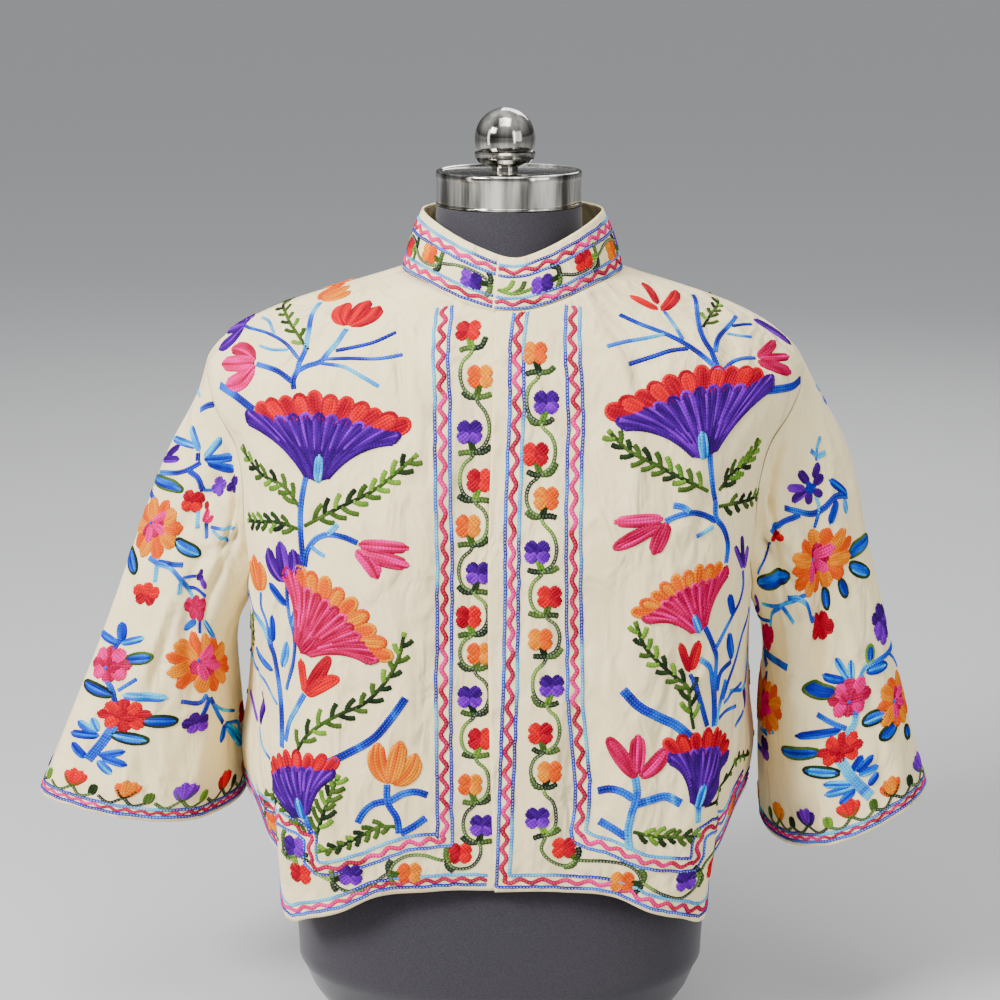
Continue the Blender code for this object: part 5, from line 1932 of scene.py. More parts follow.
FRONT_RIGHT: tuple[Sewn, ...] = (
    Fan((157, 525), (147, 599), PURPLES),
    Strand(((168, 591), (163, 610))),
    Strand(((164, 609), (157, 625), (156, 659), (165, 695))),
    Strand(((166, 610), (170, 623), (182, 637), (198, 652)), BLUES),
    Strand(((187, 638), (199, 639), (212, 638)), (Dye.ROYAL,), 1, 4.6),
    Strand(((180, 629), (191, 626), (205, 623)), SKIES, 1, 4.0),
    Strand(((171, 593), (181, 600), (192, 602), (203, 601)), BLUES, 1, 4.4),
    Strand(((167, 593), (151, 611), (139, 621), (123, 631), (103, 641), (86, 651)), BLUES),
    Strand(((139, 624), (132, 642), (125, 661)), SKIES, 1, 4.2),
    Strand(((124, 630), (108, 625), (92, 621), (77, 616)), SKIES, 1, 4.6),
    Strand(((143, 615), (128, 613), (114, 608), (94, 601)), (Dye.ROYAL,), 1, 5.0),
    Petal((120, 662), (96, 685), 10, (Dye.VERMILION,)),
    Petal((120, 671), (117, 721), 9, (Dye.CRIMSON,)),
    Petal((122, 660), (149, 707), 13, (Dye.VERMILION, Dye.CRIMSON), 1),
    Petal((204, 601), (234, 616), 11, (Dye.MAGENTA,)),
    Petal((205, 601), (245, 598), 9, (Dye.MAGENTA, Dye.PINK)),
    Petal((203, 598), (242, 584), 11, (Dye.MAGENTA,)),
    Petal((218, 644), (262, 606), 9.5, PURPLES),
    Strand(((202, 573), (223, 573), (244, 574), (259, 578)), BLUES, 3),
    Frond(((158, 638), (171, 659), (191, 678)), 11, 3),
    Frond(((162, 499), (135, 513), (113, 525), (96, 534), (81, 548)), 12, 8),
    Frond(((173, 498), (184, 509), (201, 517), (212, 529)), 10, 5),
    Frond(((172, 486), (189, 486), (208, 485), (233, 486)), 9, 4),
    Strand(((160, 534), (164, 511), (169, 491))),
    Strand(((169, 491), (170, 478), (178, 468), (183, 455), (182, 440))),
    Strand(((170, 475), (159, 481), (148, 484), (137, 483), (126, 479)), BLUES, 2, 3.0),
    Strand(((146, 485), (140, 489), (132, 491)), SKIES, 2, 3.2),
    Strand(((168, 471), (160, 468), (152, 465)), SKIES, 1, 4.2),
    Petal((126, 481), (85, 480), 11, PINKS),
    Petal((122, 477), (87, 460), 12, PINKS, 0, (Dye.MAGENTA,)),
    Petal((128, 479), (117, 453), 14, (Dye.MAGENTA,)),
    Petal((206, 430), (191, 453), 5.5, PURPLES),
    Petal((206, 430), (200, 460), 5.0, (Dye.PURPLE,)),
    Petal((208, 429), (212, 449), 5.5, PURPLES),
    Strand(((206, 429), (209, 414), (204, 403), (194, 395), (181, 382), (172, 371)), BLUES, 1, 4.2),
    Petal((195, 394), (187, 414), 9, (Dye.ROYAL,)),
    Petal((201, 355), (187, 382), 11, BLUES),
    Strand(((159, 397), (170, 376), (175, 357), (174, 329)), BLUES),
    Strand(((199, 354), (182, 349), (178, 335)), (Dye.ROYAL,), 2),
    Strand(((260, 380), (222, 370), (210, 352), (194, 335), (188, 325)), BLUES, 2),
    Strand(((301, 333), (290, 313), (207, 325)), SKIES, 1, 4.0),
    Strand(((158, 366), (166, 359), (173, 344)), SKIES),
    Strand(((152, 350), (160, 330), (167, 309)), (Dye.ROYAL,), 2),
    Strand(((171, 351), (174, 336), (175, 322), (175, 307)), BLUES, 3),
    Strand(((191, 341), (184, 325), (177, 307)), SKIES),
    Strand(((253, 317), (209, 323), (191, 321)), BLUES, 1, 3.8),
    Strand(((183, 311), (199, 312), (230, 305)), BLUES, 1, 4.0),
    Petal((277, 285), (272, 309), 9.5, PURPLES),
    Strand(((265, 289), (255, 287), (234, 286)), BLUES, 1, 3.6),
    Fan((158, 388), (139, 440), (Dye.MAGENTA, Dye.PINK), ORANGES, 0.80, SKIES, 9),
    Petal((149, 356), (140, 382), 7, (Dye.CRIMSON,)),
    Petal((150, 357), (157, 382), 10, REDS),
    Strand(((149, 355), (154, 345), (160, 332)), (Dye.ROYAL,), 1, 4.2),
    Frond(((154, 309), (150, 328), (147, 345), (138, 353), (123, 367), (112, 380), (105, 398)), 12, 8),
    Strand(((95, 346), (108, 332), (123, 323), (139, 314), (151, 303)),
        (Dye.BLUE, Dye.ROYAL, Dye.ROYAL), 3, 3.6),
    Petal((107, 274), (85, 306), 13, PINKS, 0, (Dye.MAGENTA,)),
    Petal((112, 274), (131, 296), 14, PINKS, 2, (Dye.MAGENTA,)),
    Petal((108, 275), (108, 310), 14, PINKS),
    Strand(((107, 274), (109, 260), (105, 242), (103, 228), (105, 213)), SKIES, 2, 4.0),
    Strand(((106, 256), (97, 262), (87, 264), (78, 262)), (Dye.BLUE, Dye.ROYAL), 2, 4.2),
    Strand(((108, 251), (120, 254), (132, 256), (145, 249)), (Dye.BLUE, Dye.SKY, Dye.BLUE), 3, 3.4),
    Strand(((103, 223), (92, 230), (80, 237)), (Dye.ROYAL, Dye.BLUE), 2, 4.2),
    Frond(((107, 228), (121, 224), (138, 221), (161, 219)), 10, 5),
    Fan((160, 243), (181, 306), PURPLES, REDS, 0.68, SKIES, 8),
    Strand(((163, 263), (161, 241), (161, 230)), SKIES),
    Frond(((166, 243), (206, 245), (226, 252), (307, 235)), 7, 5),
    Border(((48, 654), (54, 558), (56, 451), (58, 338), (66, 271), (66, 248), (64, 229), (65, 224),
        (74, 219), (87, 216), (101, 210), (117, 202), (135, 198), (147, 195), (160, 194), (163, 200),
        (163, 213), (165, 220), (175, 224), (221, 211), (241, 222), (289, 221)), 5.6, 2.6),
    Vine(((280, 212), (243, 204), (217, 193), (171, 185), (155, 176), (127, 180), (103, 188),
        (78, 198), (55, 208), (41, 219), (35, 242), (36, 279), (36, 350), (34, 421), (30, 498),
        (27, 571), (26, 609), (24, 634)), ((29, ORANGES), (99, REDS), (132, PURPLES), (186, ORANGES),
        (242, REDS), (277, PURPLES), (315, ORANGES), (347, REDS), (386, PURPLES), (424, ORANGES),
        (458, REDS), (494, PURPLES), (535, ORANGES), (569, REDS), (608, PURPLES), (646, ORANGES)), 1),
)

SLEEVE_LEFT: tuple[Sewn, ...] = (
    Strand(((6, 375), (26, 373)), SKIES, 1, 3.6),
    Strand(((56, 373), (45, 369), (34, 363)), BLUES, 2, 3.6),
    Strand(((56, 322), (53, 329)), (Dye.ROYAL,), 2, 3.4),
    Petal((55, 330), (29, 348), 8, SKIES),
    Petal((50, 333), (7, 330), 7, SKIES),
    Petal((61, 326), (73, 349), 8, SKIES),
    Petal((61, 325), (93, 337), 8.5, BLUES),
    Petal((65, 324), (97, 325), 8.5, BLUES),
    Petal((10, 311), (27, 328), 8, (Dye.PURPLE,)),
    Petal((5, 309), (34, 317), 7, PURPLES),
    Strand(((60, 322), (49, 311), (10, 298)), (Dye.ROYAL, Dye.BLUE), 2),
    Strand(((51, 311), (63, 308), (72, 298)), (Dye.ROYAL,), 2, 3.4),
    Strand(((72, 299), (82, 302)), BLUES, 1, 4.0),
    Leaf((3, 292), (53, 293), 12, (Dye.OLIVE,), BLUES),
    Blossom((86, 307), 10, (Dye.LILAC,), 4, 40),
    Blossom((104, 314), 10, (Dye.PURPLE,), 4, 40),
    Blossom((66, 286), 12, REDS, 4, 50),
    Petal((84, 283), (78, 290), 6, (Dye.CRIMSON,)),
    Petal((86, 271), (85, 285), 7, PINKS),
    Petal((88, 271), (95, 280), 7, PINKS),
    Strand(((74, 279), (82, 264)), SKIES, 2, 3.4),
    Strand(((89, 272), (98, 257)), BLUES, 2, 3.2),
    Strand(((97, 269), (116, 271), (136, 274)), SKIES, 1, 4.4),
    Strand(((101, 267), (117, 262), (134, 257)), SKIES, 1, 4.4),
    Strand(((2, 280), (21, 275)), BLUES, 2, 3.4),
    Daisy((32, 253), 28, ORANGES, PINKS, (Dye.BLUE,), 10, 1.2, -35),
    Leaf((60, 247), (96, 240), 14, (Dye.NIGHT,), SKIES),
    Leaf((3, 228), (25, 211), 14, (Dye.NIGHT,), BLUES),
    Strand(((35, 227), (46, 224), (66, 222), (82, 213), (103, 197)), SKIES),
    Strand(((47, 225), (63, 226), (79, 228)), BLUES, 2, 3.2),
    Strand(((47, 222), (50, 207)), SKIES, 2, 3.4),
    Strand(((82, 216), (100, 219)), BLUES, 1, 4.0),
    Strand(((81, 213), (82, 200)), SKIES, 2, 3.2),
    Strand(((90, 207), (109, 207), (125, 202)), (Dye.ROYAL,), 1, 4.2),
    Blossom((107, 221), 7, (Dye.PURPLE,), 3, 90),
    Petal((109, 219), (123, 210), 7, (Dye.LILAC,)),
    Blossom((44, 196), 10.5, (Dye.VERMILION, Dye.CRIMSON), 5, 20, 1.5),
    Blossom((110, 190), 11.5, (Dye.MAGENTA,), 5, 30, 1.8),
    Petal((114, 179), (94, 166), 8, SKIES),
    Petal((125, 181), (149, 163), 7, SKIES),
    Strand(((119, 182), (120, 167)), BLUES, 2, 3.4),
    Daisy((128, 140), 30, ORANGES, PINKS, (Dye.BLUE,), 13, 1.75, -30),
    Strand(((29, 142), (32, 153)), BLUES, 2),
    Petal((34, 151), (28, 168), 10, BLUES),
    Petal((33, 149), (2, 151), 8, (Dye.ROYAL, Dye.BLUE)),
    Petal((33, 149), (54, 158), 7, SKIES),
    Daisy((30, 129), 17, (Dye.MAGENTA, Dye.PINK), (Dye.MAGENTA,), (Dye.BLUE,), 8, 1.3, 70),
    Leaf((42, 136), (66, 143), 12, (Dye.OLIVE,), BLUES),
    Strand(((26, 119), (39, 109), (47, 97)), BLUES, 2),
    Leaf((42, 103), (10, 106), 12, (Dye.NIGHT,), BLUES),
    Strand(((45, 108), (58, 122)), SKIES, 1, 4.4),
    Petal((49, 105), (90, 108), 9, SKIES),
    Daisy((58, 88), 14.5, REDS, (Dye.CRIMSON,), (), 8, 1.6, 60),
    Leaf((74, 86), (102, 88), 12, (Dye.NIGHT,), BLUES),
    Leaf((55, 70), (85, 69), 11, (Dye.NIGHT,), SKIES),
    Strand(((54, 79), (50, 61), (44, 43)), (Dye.BLUE, Dye.ROYAL, Dye.BLUE), 4, 3.4),
    Petal((42, 68), (21, 73), 8, SKIES),
    Petal((43, 69), (33, 80), 7, SKIES),
    Petal((46, 66), (18, 61), 8, (Dye.ROYAL, Dye.BLUE)),
    Petal((42, 44), (24, 54), 8, BLUES),
    Petal((51, 49), (72, 58), 7, BLUES),
    Petal((54, 49), (78, 46), 7, (Dye.ROYAL, Dye.BLUE)),
    Petal((52, 45), (69, 36), 7, SKIES),
    Strand(((127, 111), (123, 105), (101, 105)), BLUES, 1, 4.6),
    Strand(((130, 108), (123, 92)), BLUES, 2, 3.0),
    Strand(((130, 108), (141, 92), (154, 79)), BLUES, 2, 3.2),
    Strand(((133, 102), (149, 93), (178, 84)), SKIES, 1, 3.8),
    Blossom((119, 86), 10, PURPLES, 5, 40, 1.3),
    Blossom((202, 76), 11, REDS, 4, 40),
    Petal((156, 78), (156, 61), 10, BLUES),
    Petal((159, 77), (208, 45), 10, SKIES),
    Strand(((158, 78), (192, 65), (188, 51)), SKIES, 1, 4.0),
)

SLEEVE_RIGHT: tuple[Sewn, ...] = (
    Strand(((10, 360), (2, 354)), SKIES, 2, 3.4),
    Strand(((2, 347), (10, 344)), SKIES, 2, 3.4),
    Strand(((43, 327), (51, 318), (58, 311)), SKIES, 1, 3.6),
    Strand(((58, 321), (54, 314), (44, 312)), SKIES, 2, 3.2),
    Petal((67, 299), (56, 309), 7, (Dye.PURPLE,)),
    Petal((73, 297), (77, 311), 9, (Dye.PURPLE,)),
    Petal((69, 294), (57, 298), 8, (Dye.PURPLE,)),
    Petal((77, 294), (96, 304), 8, (Dye.LILAC,)),
    Petal((76, 292), (97, 291), 9, PURPLES),
    Petal((75, 291), (80, 280), 8, (Dye.PURPLE,)),
    Petal((71, 290), (65, 282), 8, (Dye.PURPLE,)),
    Blossom((73, 293), 6, (Dye.ROYAL,), 4, 0),
    Strand(((71, 284), (71, 276), (81, 259)), SKIES, 1, 4.0),
    Strand(((109, 291), (95, 281), (77, 271), (67, 272), (54, 276), (33, 269)), BLUES, 2, 3.6),
    Strand(((92, 276), (118, 281), (141, 278)), BLUES, 2, 3.4),
    Petal((33, 269), (54, 292), 9, (Dye.ROYAL, Dye.BLUE)),
    Petal((51, 273), (66, 257), 9, BLUES),
    Petal((41, 270), (42, 257), 8, SKIES),
    Petal((147, 268), (128, 275), 8, (Dye.CRIMSON,)),
    Petal((139, 270), (125, 270), 8, (Dye.VERMILION,)),
    Strand(((149, 267), (161, 260), (192, 246)), BLUES, 1, 3.4),
    Daisy((87, 232), 27, ORANGES, PINKS, (Dye.BLUE,), 13, 1.85, 215),
    Leaf((48, 224), (6, 224), 13, (Dye.OLIVE,), BLUES),
    Leaf((48, 216), (21, 198), 13, (Dye.NIGHT,), SKIES),
    Leaf((65, 210), (57, 194), 12, (Dye.NIGHT,), BLUES),
    Leaf((82, 207), (84, 191), 12, (Dye.NIGHT,), BLUES),
    Leaf((137, 234), (204, 238), 16, (Dye.NIGHT, Dye.OLIVE), BLUES),
    Petal((236, 215), (231, 228), 8, (Dye.LILAC,)),
    Petal((233, 215), (262, 209), 8, (Dye.PURPLE,)),
    Strand(((219, 217), (159, 213), (135, 213), (112, 213)), SKIES, 1, 4.6),
    Strand(((148, 217), (132, 213), (118, 205), (108, 188), (106, 189)), SKIES, 2, 3.2),
    Strand(((160, 212), (150, 203), (142, 194)), SKIES, 2, 3.0),
    Strand(((162, 212), (193, 204), (201, 195)), SKIES, 2, 3.0),
    Strand(((261, 205), (249, 203), (201, 200)), BLUES, 1, 4.4),
    Blossom((95, 179), 11.5, (Dye.CRIMSON,), 5, 50, 1.55),
    Blossom((217, 185), 13, (Dye.MAGENTA,), 5, 20, 2.0),
    Strand(((230, 175), (232, 168)), BLUES, 2, 3.2),
    Strand(((206, 155), (226, 166), (180, 163), (145, 158)), (Dye.BLUE, Dye.ROYAL, Dye.BLUE), 3),
    Strand(((203, 150), (200, 140)), BLUES, 2, 3.2),
    Daisy((193, 117), 27, ORANGES, PINKS, (Dye.BLUE,), 12, 1.7, 180),
    Strand(((187, 89), (206, 90), (170, 95)), SKIES, 1, 3.8),
    Blossom((196, 75), 12, PURPLES, 4, 45),
    Strand(((185, 71), (225, 69)), BLUES, 2, 3.0),
    Blossom((19, 156), 15, PURPLES, 6, 30),
    Blossom((20, 147), 12, (Dye.PURPLE, Dye.LILAC), 5, 70),
    Strand(((3, 129), (21, 127), (35, 128), (55, 128), (61, 123)), SKIES, 2, 3.0),
    Strand(((20, 128), (11, 118), (3, 107)), SKIES, 1, 3.8),
    Leaf((45, 131), (40, 144), 12, (Dye.LEAF,), BLUES),
    Leaf((50, 126), (26, 120), 10, (Dye.ROYAL,), SKIES),
    Petal((70, 127), (82, 151), 8, SKIES),
    Petal((68, 125), (65, 143), 7, SKIES),
    Petal((74, 128), (100, 141), 8, BLUES),
    Daisy((73, 114), 17, (Dye.MAGENTA, Dye.PINK), (Dye.MAGENTA,), (Dye.BLUE,), 8, 1.4, 110),
    Leaf((84, 122), (123, 136), 14, (Dye.OLIVE,), BLUES),
    Strand(((69, 103), (74, 91), (81, 86), (84, 80)), SKIES, 3, 3.0),
    Strand(((82, 90), (95, 100), (108, 111)), BLUES, 2, 3.0),
    Petal((86, 91), (131, 97), 8, BLUES),
    Daisy((91, 76), 13, REDS, (Dye.CRIMSON,), (), 8, 1.75, 110),
    Leaf((110, 79), (150, 84), 12, (Dye.OLIVE,), BLUES),
    Leaf((97, 57), (126, 67), 11, (Dye.NIGHT,), SKIES),
    Strand(((94, 68), (87, 48), (76, 27)), (Dye.SKY, Dye.BLUE, Dye.SKY), 4, 3.4),
    Petal((87, 54), (73, 63), 8, BLUES),
    Petal((83, 52), (63, 58), 7, (Dye.ROYAL, Dye.BLUE)),
    Petal((82, 49), (61, 47), 7, SKIES),
    Petal((76, 37), (63, 42), 7, BLUES),
    Petal((88, 44), (113, 52), 7, SKIES),
    Petal((89, 41), (114, 43), 7, SKIES),
    Petal((87, 39), (104, 32), 7, (Dye.ROYAL, Dye.BLUE)),
    Daisy((23, 87), 23, ORANGES, PINKS, (Dye.BLUE,), 10, 1.25, 200),
    Leaf((41, 85), (66, 88), 13, (Dye.NIGHT,), SKIES),
    Leaf((33, 70), (53, 68), 13, (Dye.NIGHT,), BLUES),
    Leaf((20, 62), (22, 51), 11, (Dye.NIGHT,), BLUES),
)


class DressForm:
    """The torso form with its turned cap, dish and ball."""

    BASE_ROUND = 95 * MM
    BASE_SQUARE = 2.4
    BASE_PARTS = (0.0, 0.02, 0.05, 0.09, 0.15, 0.22, 0.31, 0.42, 0.56, 0.74)  # its rings, as parts of it
    SHOULDER_END = ((592, 97, 189, 99, 1.9), (604, 93, 184, 95, 1.8))  # in FORM_RINGS' columns
    NECK_RINGS = ((664, 66), (672, 61.5), (682, 58.5), (706, 57.5))  # levels and radii
    MIDDLE_FROM = 200 * MM
    SEAT, EASE = 3.9 * MM, 7.0 * MM
    SHOULDER_HALF = 180 * MM
    NECK_TOP = 706 * MM
    CAP_TOP = 734 * MM
    NECK_MIDDLE, FINIAL_MIDDLE = 7 * MM, 4 * MM
    CAP_RADIUS = 57.8 * MM
    BALL_RADIUS, BALL_LIFT, BALL_FLAT = 24 * MM, 24.5 * MM, 17.5 * MM
    SEAT_GAP, SEAT_LOW, SEAT_HIGH = 0.4 * MM, 17.8, 10.5
    DISH = ((23.4, 14.6), (24.2, 13.2), (23.6, 9.4), (20.6, 5.6), (14.5, 3.2), (10.4, 2.3), (10.2, -0.7))
    ROUND = 128

    def __init__(self, body: JacketBody) -> None:
        """Reads the rings of the torso."""
        self.body = body
        self.rows = np.array(self.rings(), float)

    def rings(self) -> list[tuple[float, ...]]:
        """The torso's rings.

        Returns:
            Level, front, half width, back, squareness and middle of each, lengths in metres.
        """
        rows = []
        first = np.array(FORM_RINGS[0][1:4]) * MM
        for part in self.BASE_PARTS:
            level = self.BASE_ROUND * part
            inset = self.BASE_ROUND - math.sqrt(self.BASE_ROUND**2 - (self.BASE_ROUND - level) ** 2)
            rows.append((level, *(first - inset), self.BASE_SQUARE, 0.0))
        table = np.array(FORM_RINGS, float)
        for level in np.linspace(table[0, 0], table[-1, 0], 60):
            read = [float(through(table[:, 0], table[:, k], level)) for k in range(1, 5)]
            middle = self.body.middle(level * MM) * float(ease((level * MM - self.MIDDLE_FROM) / (30 * MM)))
            rows.append((level * MM, *(size * MM for size in read[:3]), read[3], middle))
        for level, *sizes, square in self.SHOULDER_END:
            level = level * MM
            rows.append((level, *(size * MM for size in sizes), square, self.body.middle(level)))
        for level in np.linspace(612, 655, 12) * MM:
            cloth = level + self.SEAT
            read = self.body.read.items()
            at = {name: float(np.interp(cloth, self.body.levels, values)) for name, values in read}
            side = min(at["side"] * MM, self.SHOULDER_HALF)
            sizes = (at["front"] * MM - self.EASE, side, at["back"] * MM - self.EASE, at["front_square"])
            rows.append((level, *sizes, self.body.middle(cloth)))
        for level, radius in self.NECK_RINGS:
            rows.append((level * MM, *(radius * MM,) * 3, 2.0, self.NECK_MIDDLE))
        return rows

    def torso(self, finish: Material) -> Piece:
        """A drum, cut into rings and drawn in to the torso's outline.

        Args:
            finish: Its cloth.

        Returns:
            The torso.
        """
        bpy.ops.object.select_all(action="DESELECT")
        bpy.ops.mesh.primitive_cylinder_add(
            vertices=self.ROUND, radius=0.3, depth=self.NECK_TOP, location=(0, 0, self.NECK_TOP / 2)
        )
        piece = bpy.context.object
        piece.name = piece.data.name = "form_torso"
        bpy.ops.object.transform_apply(location=True, rotation=False, scale=False)
        bpy.ops.object.mode_set(mode="EDIT")
        for level in self.rows[1:-1, 0]:
            bpy.ops.mesh.select_all(action="SELECT")
            bpy.ops.mesh.bisect(plane_co=(0, 0, float(level)), plane_no=(0, 0, 1))
        bpy.ops.object.mode_set(mode="OBJECT")
        points = np.empty(len(piece.data.vertices) * 3, np.float32)
        piece.data.vertices.foreach_get("co", points)
        points = points.reshape(-1, 3).astype(float)
        turn = np.arctan2(points[:, 1], points[:, 0])
        front, side, back, square, middle = (
            np.interp(points[:, 2], self.rows[:, 0], self.rows[:, k]) for k in range(1, 6)
        )
        radius = (np.abs(np.cos(turn)) ** square + np.abs(np.sin(turn)) ** square) ** (-1 / square)
        depth = np.where(np.sin(turn) < 0, front, back)
        points[:, 0] = middle + side * radius * np.cos(turn)
        points[:, 1] = depth * radius * np.sin(turn)
        piece.data.vertices.foreach_set("co", points.astype(np.float32).ravel())
        piece.data.update()
        piece.data.materials.append(finish)
        bpy.ops.object.shade_smooth_by_angle(angle=math.radians(40))
        return piece

    def turned(self, name: str, profile: Profile, middle: float, finish: Material) -> Piece:
        """Spins an outline into a piece.

        Args:
            name: The piece's name.
            profile: Radius and height of its outline's points.
            middle: Where its axis stands, to the viewer's right.
            finish: Its metal.

        Returns:
            The piece.
        """
        data = bpy.data.meshes.new(name)
        places = [(middle + radius, 0.0, height) for radius, height in profile]
        data.from_pydata(places, [(i, i + 1) for i in range(len(places) - 1)], [])
        piece = bpy.data.objects.new(name, data)
        bpy.context.scene.collection.objects.link(piece)
        bpy.ops.object.select_all(action="DESELECT")
        piece.select_set(True)
        bpy.context.view_layer.objects.active = piece
        bpy.ops.object.mode_set(mode="EDIT")
        bpy.ops.mesh.select_all(action="SELECT")
        bpy.ops.mesh.spin(steps=96, angle=2 * math.pi, center=(middle, 0, 0), axis=(0, 0, 1))
        bpy.ops.mesh.select_all(action="SELECT")
        bpy.ops.mesh.remove_doubles(threshold=0.00004)
        bpy.ops.mesh.normals_make_consistent(inside=False)
        bpy.ops.object.mode_set(mode="OBJECT")
        data.materials.append(finish)
        bpy.ops.object.shade_smooth_by_angle(angle=math.radians(38))
        return piece

    def cap(self) -> Profile:
        """Outline of the cap: a sunk top, a rounded rim, a straight band and a rolled lower edge.

        Returns:
            Radius and height of its points.
        """
        top, low, radius = self.CAP_TOP, self.NECK_TOP + 0.3 * MM, self.CAP_RADIUS
        rim = [
            (radius - 2 * MM + 2 * MM * math.sin(t), top - 2 * MM + 2 * MM * math.cos(t))
            for t in np.linspace(-1.2, 1.571, 9)
        ]
        roll = [
            (radius - 1.2 * MM + 1.2 * MM * math.cos(t), low + 1.6 * MM + 1.4 * MM * math.sin(t))
            for t in np.linspace(1.4, -1.2, 8)
        ]
        step = [(radius - inset * MM, top - drop * MM) for inset, drop in ((0, 5), (0.3, 5.6), (0.6, 6.2))]
        band = [(radius - 0.6 * MM, low + 4.2 * MM)]
        sunk = [(0, top - 1.0 * MM), (radius - 7 * MM, top - 1.0 * MM)]
        return [*sunk, *rim, *step, *band, *roll, (radius - 3 * MM, low), (0, low)]

    def dish(self) -> Profile:
        """Outline of the dish: a round seat, a rounded rim, a flared underside and a short stem.

        Returns:
            Radius and height of its points.
        """
        seat, centre = self.BALL_RADIUS + self.SEAT_GAP, self.CAP_TOP + self.BALL_LIFT
        depths = np.linspace(self.SEAT_LOW, self.SEAT_HIGH, 9) * MM
        inner = [(math.sqrt(seat**2 - depth**2), centre - depth) for depth in depths]
        last = len(self.DISH) - 1
        table = read_path(np.array(self.DISH), np.arange(last + 1), np.linspace(0, last, 25))
        outer = [(radius * MM, self.CAP_TOP + height * MM) for radius, height in table]
        return [(0, centre - self.SEAT_LOW * MM), *inner, *outer, (0, self.CAP_TOP - 0.7 * MM)]

    def ball(self) -> Profile:
        """Outline of the ball, a little flat below.

        Returns:
            Radius and height of its points.
        """
        centre, flat = self.CAP_TOP + self.BALL_LIFT, self.BALL_FLAT
        turns = np.linspace(0, math.acos(-flat / self.BALL_RADIUS), 40)
        arc = [(self.BALL_RADIUS * math.sin(t), centre + self.BALL_RADIUS * math.cos(t)) for t in turns]
        return [(0, centre + self.BALL_RADIUS), *arc[1:], (0, centre - flat)]

    def build(self, jersey: Material, chrome: Material) -> None:
        """Makes all four and sets them in the place of their nodes.

        Args:
            jersey: The torso's cloth.
            chrome: The metal of the rest.
        """
        neck, finial = self.NECK_MIDDLE, self.FINIAL_MIDDLE
        pieces = (
            (self.torso(jersey), "form_body", "form_cloth"),
            (self.turned("neck_cap", self.cap(), neck, chrome), "form_cap", "chrome"),
            (self.turned("finial_dish", self.dish(), finial, chrome), "form_finial_cup", "chrome"),
            (self.turned("finial_ball", self.ball(), finial, chrome), "form_finial_ball", "chrome"),
        )
        for piece, node, slot in pieces:
            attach(piece, "root")
            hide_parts(node)
            LOG.info("%s: %d faces", piece.name, len(piece.data.polygons))


@dataclass(frozen=True)
class NodeSet:
    """Short hand for building a material's nodes."""

    tree: bpy.types.NodeTree

    def add(self, kind: str, **values: object) -> bpy.types.Node:
        """Adds a node.

        Args:
            kind: The node's type.
            values: Its settings and sockets by name.

        Returns:
            The node.
        """
        node = self.tree.nodes.new(kind)
        for name, value in values.items():
            if hasattr(node, name):
                setattr(node, name, value)
            else:
                node.inputs[name.replace("_", " ")].default_value = value
        return node

    def join(self, start: Socket, end: Socket) -> None:
        """Links two sockets."""
        self.tree.links.new(start, end)

    def ramp(self, value: Socket, stops: tuple[tuple[float, tuple], ...]) -> Socket:
        """Colour ramp over a value.

        Args:
            value: What is read.
            stops: Each stop's place and colour.

        Returns:
            The colour.
        """
        node = self.add("ShaderNodeValToRGB")
        self.join(value, node.inputs["Fac"])
        while len(node.color_ramp.elements) < len(stops):
            node.color_ramp.elements.new(0.5)
        for element, (place, colour) in zip(node.color_ramp.elements, stops):
            element.position, element.color = place, (*colour, 1.0)
        return node.outputs["Color"]

    def noise(self, place: Socket, **values: float) -> Socket:
        """Noise over a place.

        Args:
            place: Where it is read.
            values: Its sockets by name.

        Returns:
            The noise.
        """
        node = self.add("ShaderNodeTexNoise", **values)
        self.join(place, node.inputs["Vector"])
        return node.outputs["Fac"]

    def stretched(self, place: Socket, scale: tuple[float, float, float]) -> Socket:
        """A place, scaled along each axis.

        Args:
            place: What is scaled.
            scale: How much, along each axis.

        Returns:
            The scaled place.
        """
        node = self.add("ShaderNodeMapping")
        node.inputs["Scale"].default_value = scale
        self.join(place, node.inputs["Vector"])
        return node.outputs["Vector"]

    def bump(self, height: Socket, strength: float, distance: float) -> bpy.types.Node:
        """A bump from a height.

        Args:
            height: What rises.
            strength: How much of it shows.
            distance: Its depth, in metres.

        Returns:
            The bump's node, whose Normal is still free for one under it.
        """
        node = self.add("ShaderNodeBump", Strength=strength, Distance=distance)
        self.join(height, node.inputs["Height"])
        return node

    def spread(
        self, value: Socket, low: float, high: float, start: float = 0.0, end: float = 1.0,
        kind: str = "LINEAR",
    ) -> Socket:  # fmt: skip
        """Maps a value's range on another one.

        Args:
            value: What is read.
            low: What start becomes.
            high: What end becomes.
            start: Where its range starts.
            end: Where its range ends.
            kind: How the range is crossed.

        Returns:
            The mapped value.
        """
        node = self.add("ShaderNodeMapRange", interpolation_type=kind)
        self.join(value, node.inputs["Value"])
        for name, number in (("From Min", start), ("From Max", end), ("To Min", low), ("To Max", high)):
            node.inputs[name].default_value = number
        return node.outputs["Result"]

    def sum(self, kind: str, a: object, b: object) -> Socket:
        """One step of arithmetic between sockets or numbers.

        Args:
            kind: The operation.
            a: Socket or number.
            b: Socket or number.

        Returns:
            The result.
        """
        node = self.add("ShaderNodeMath", operation=kind)
        for socket, value in zip(node.inputs, (a, b)):
            if isinstance(value, Socket):
                self.join(value, socket)
            else:
                socket.default_value = value
        return node.outputs[0]


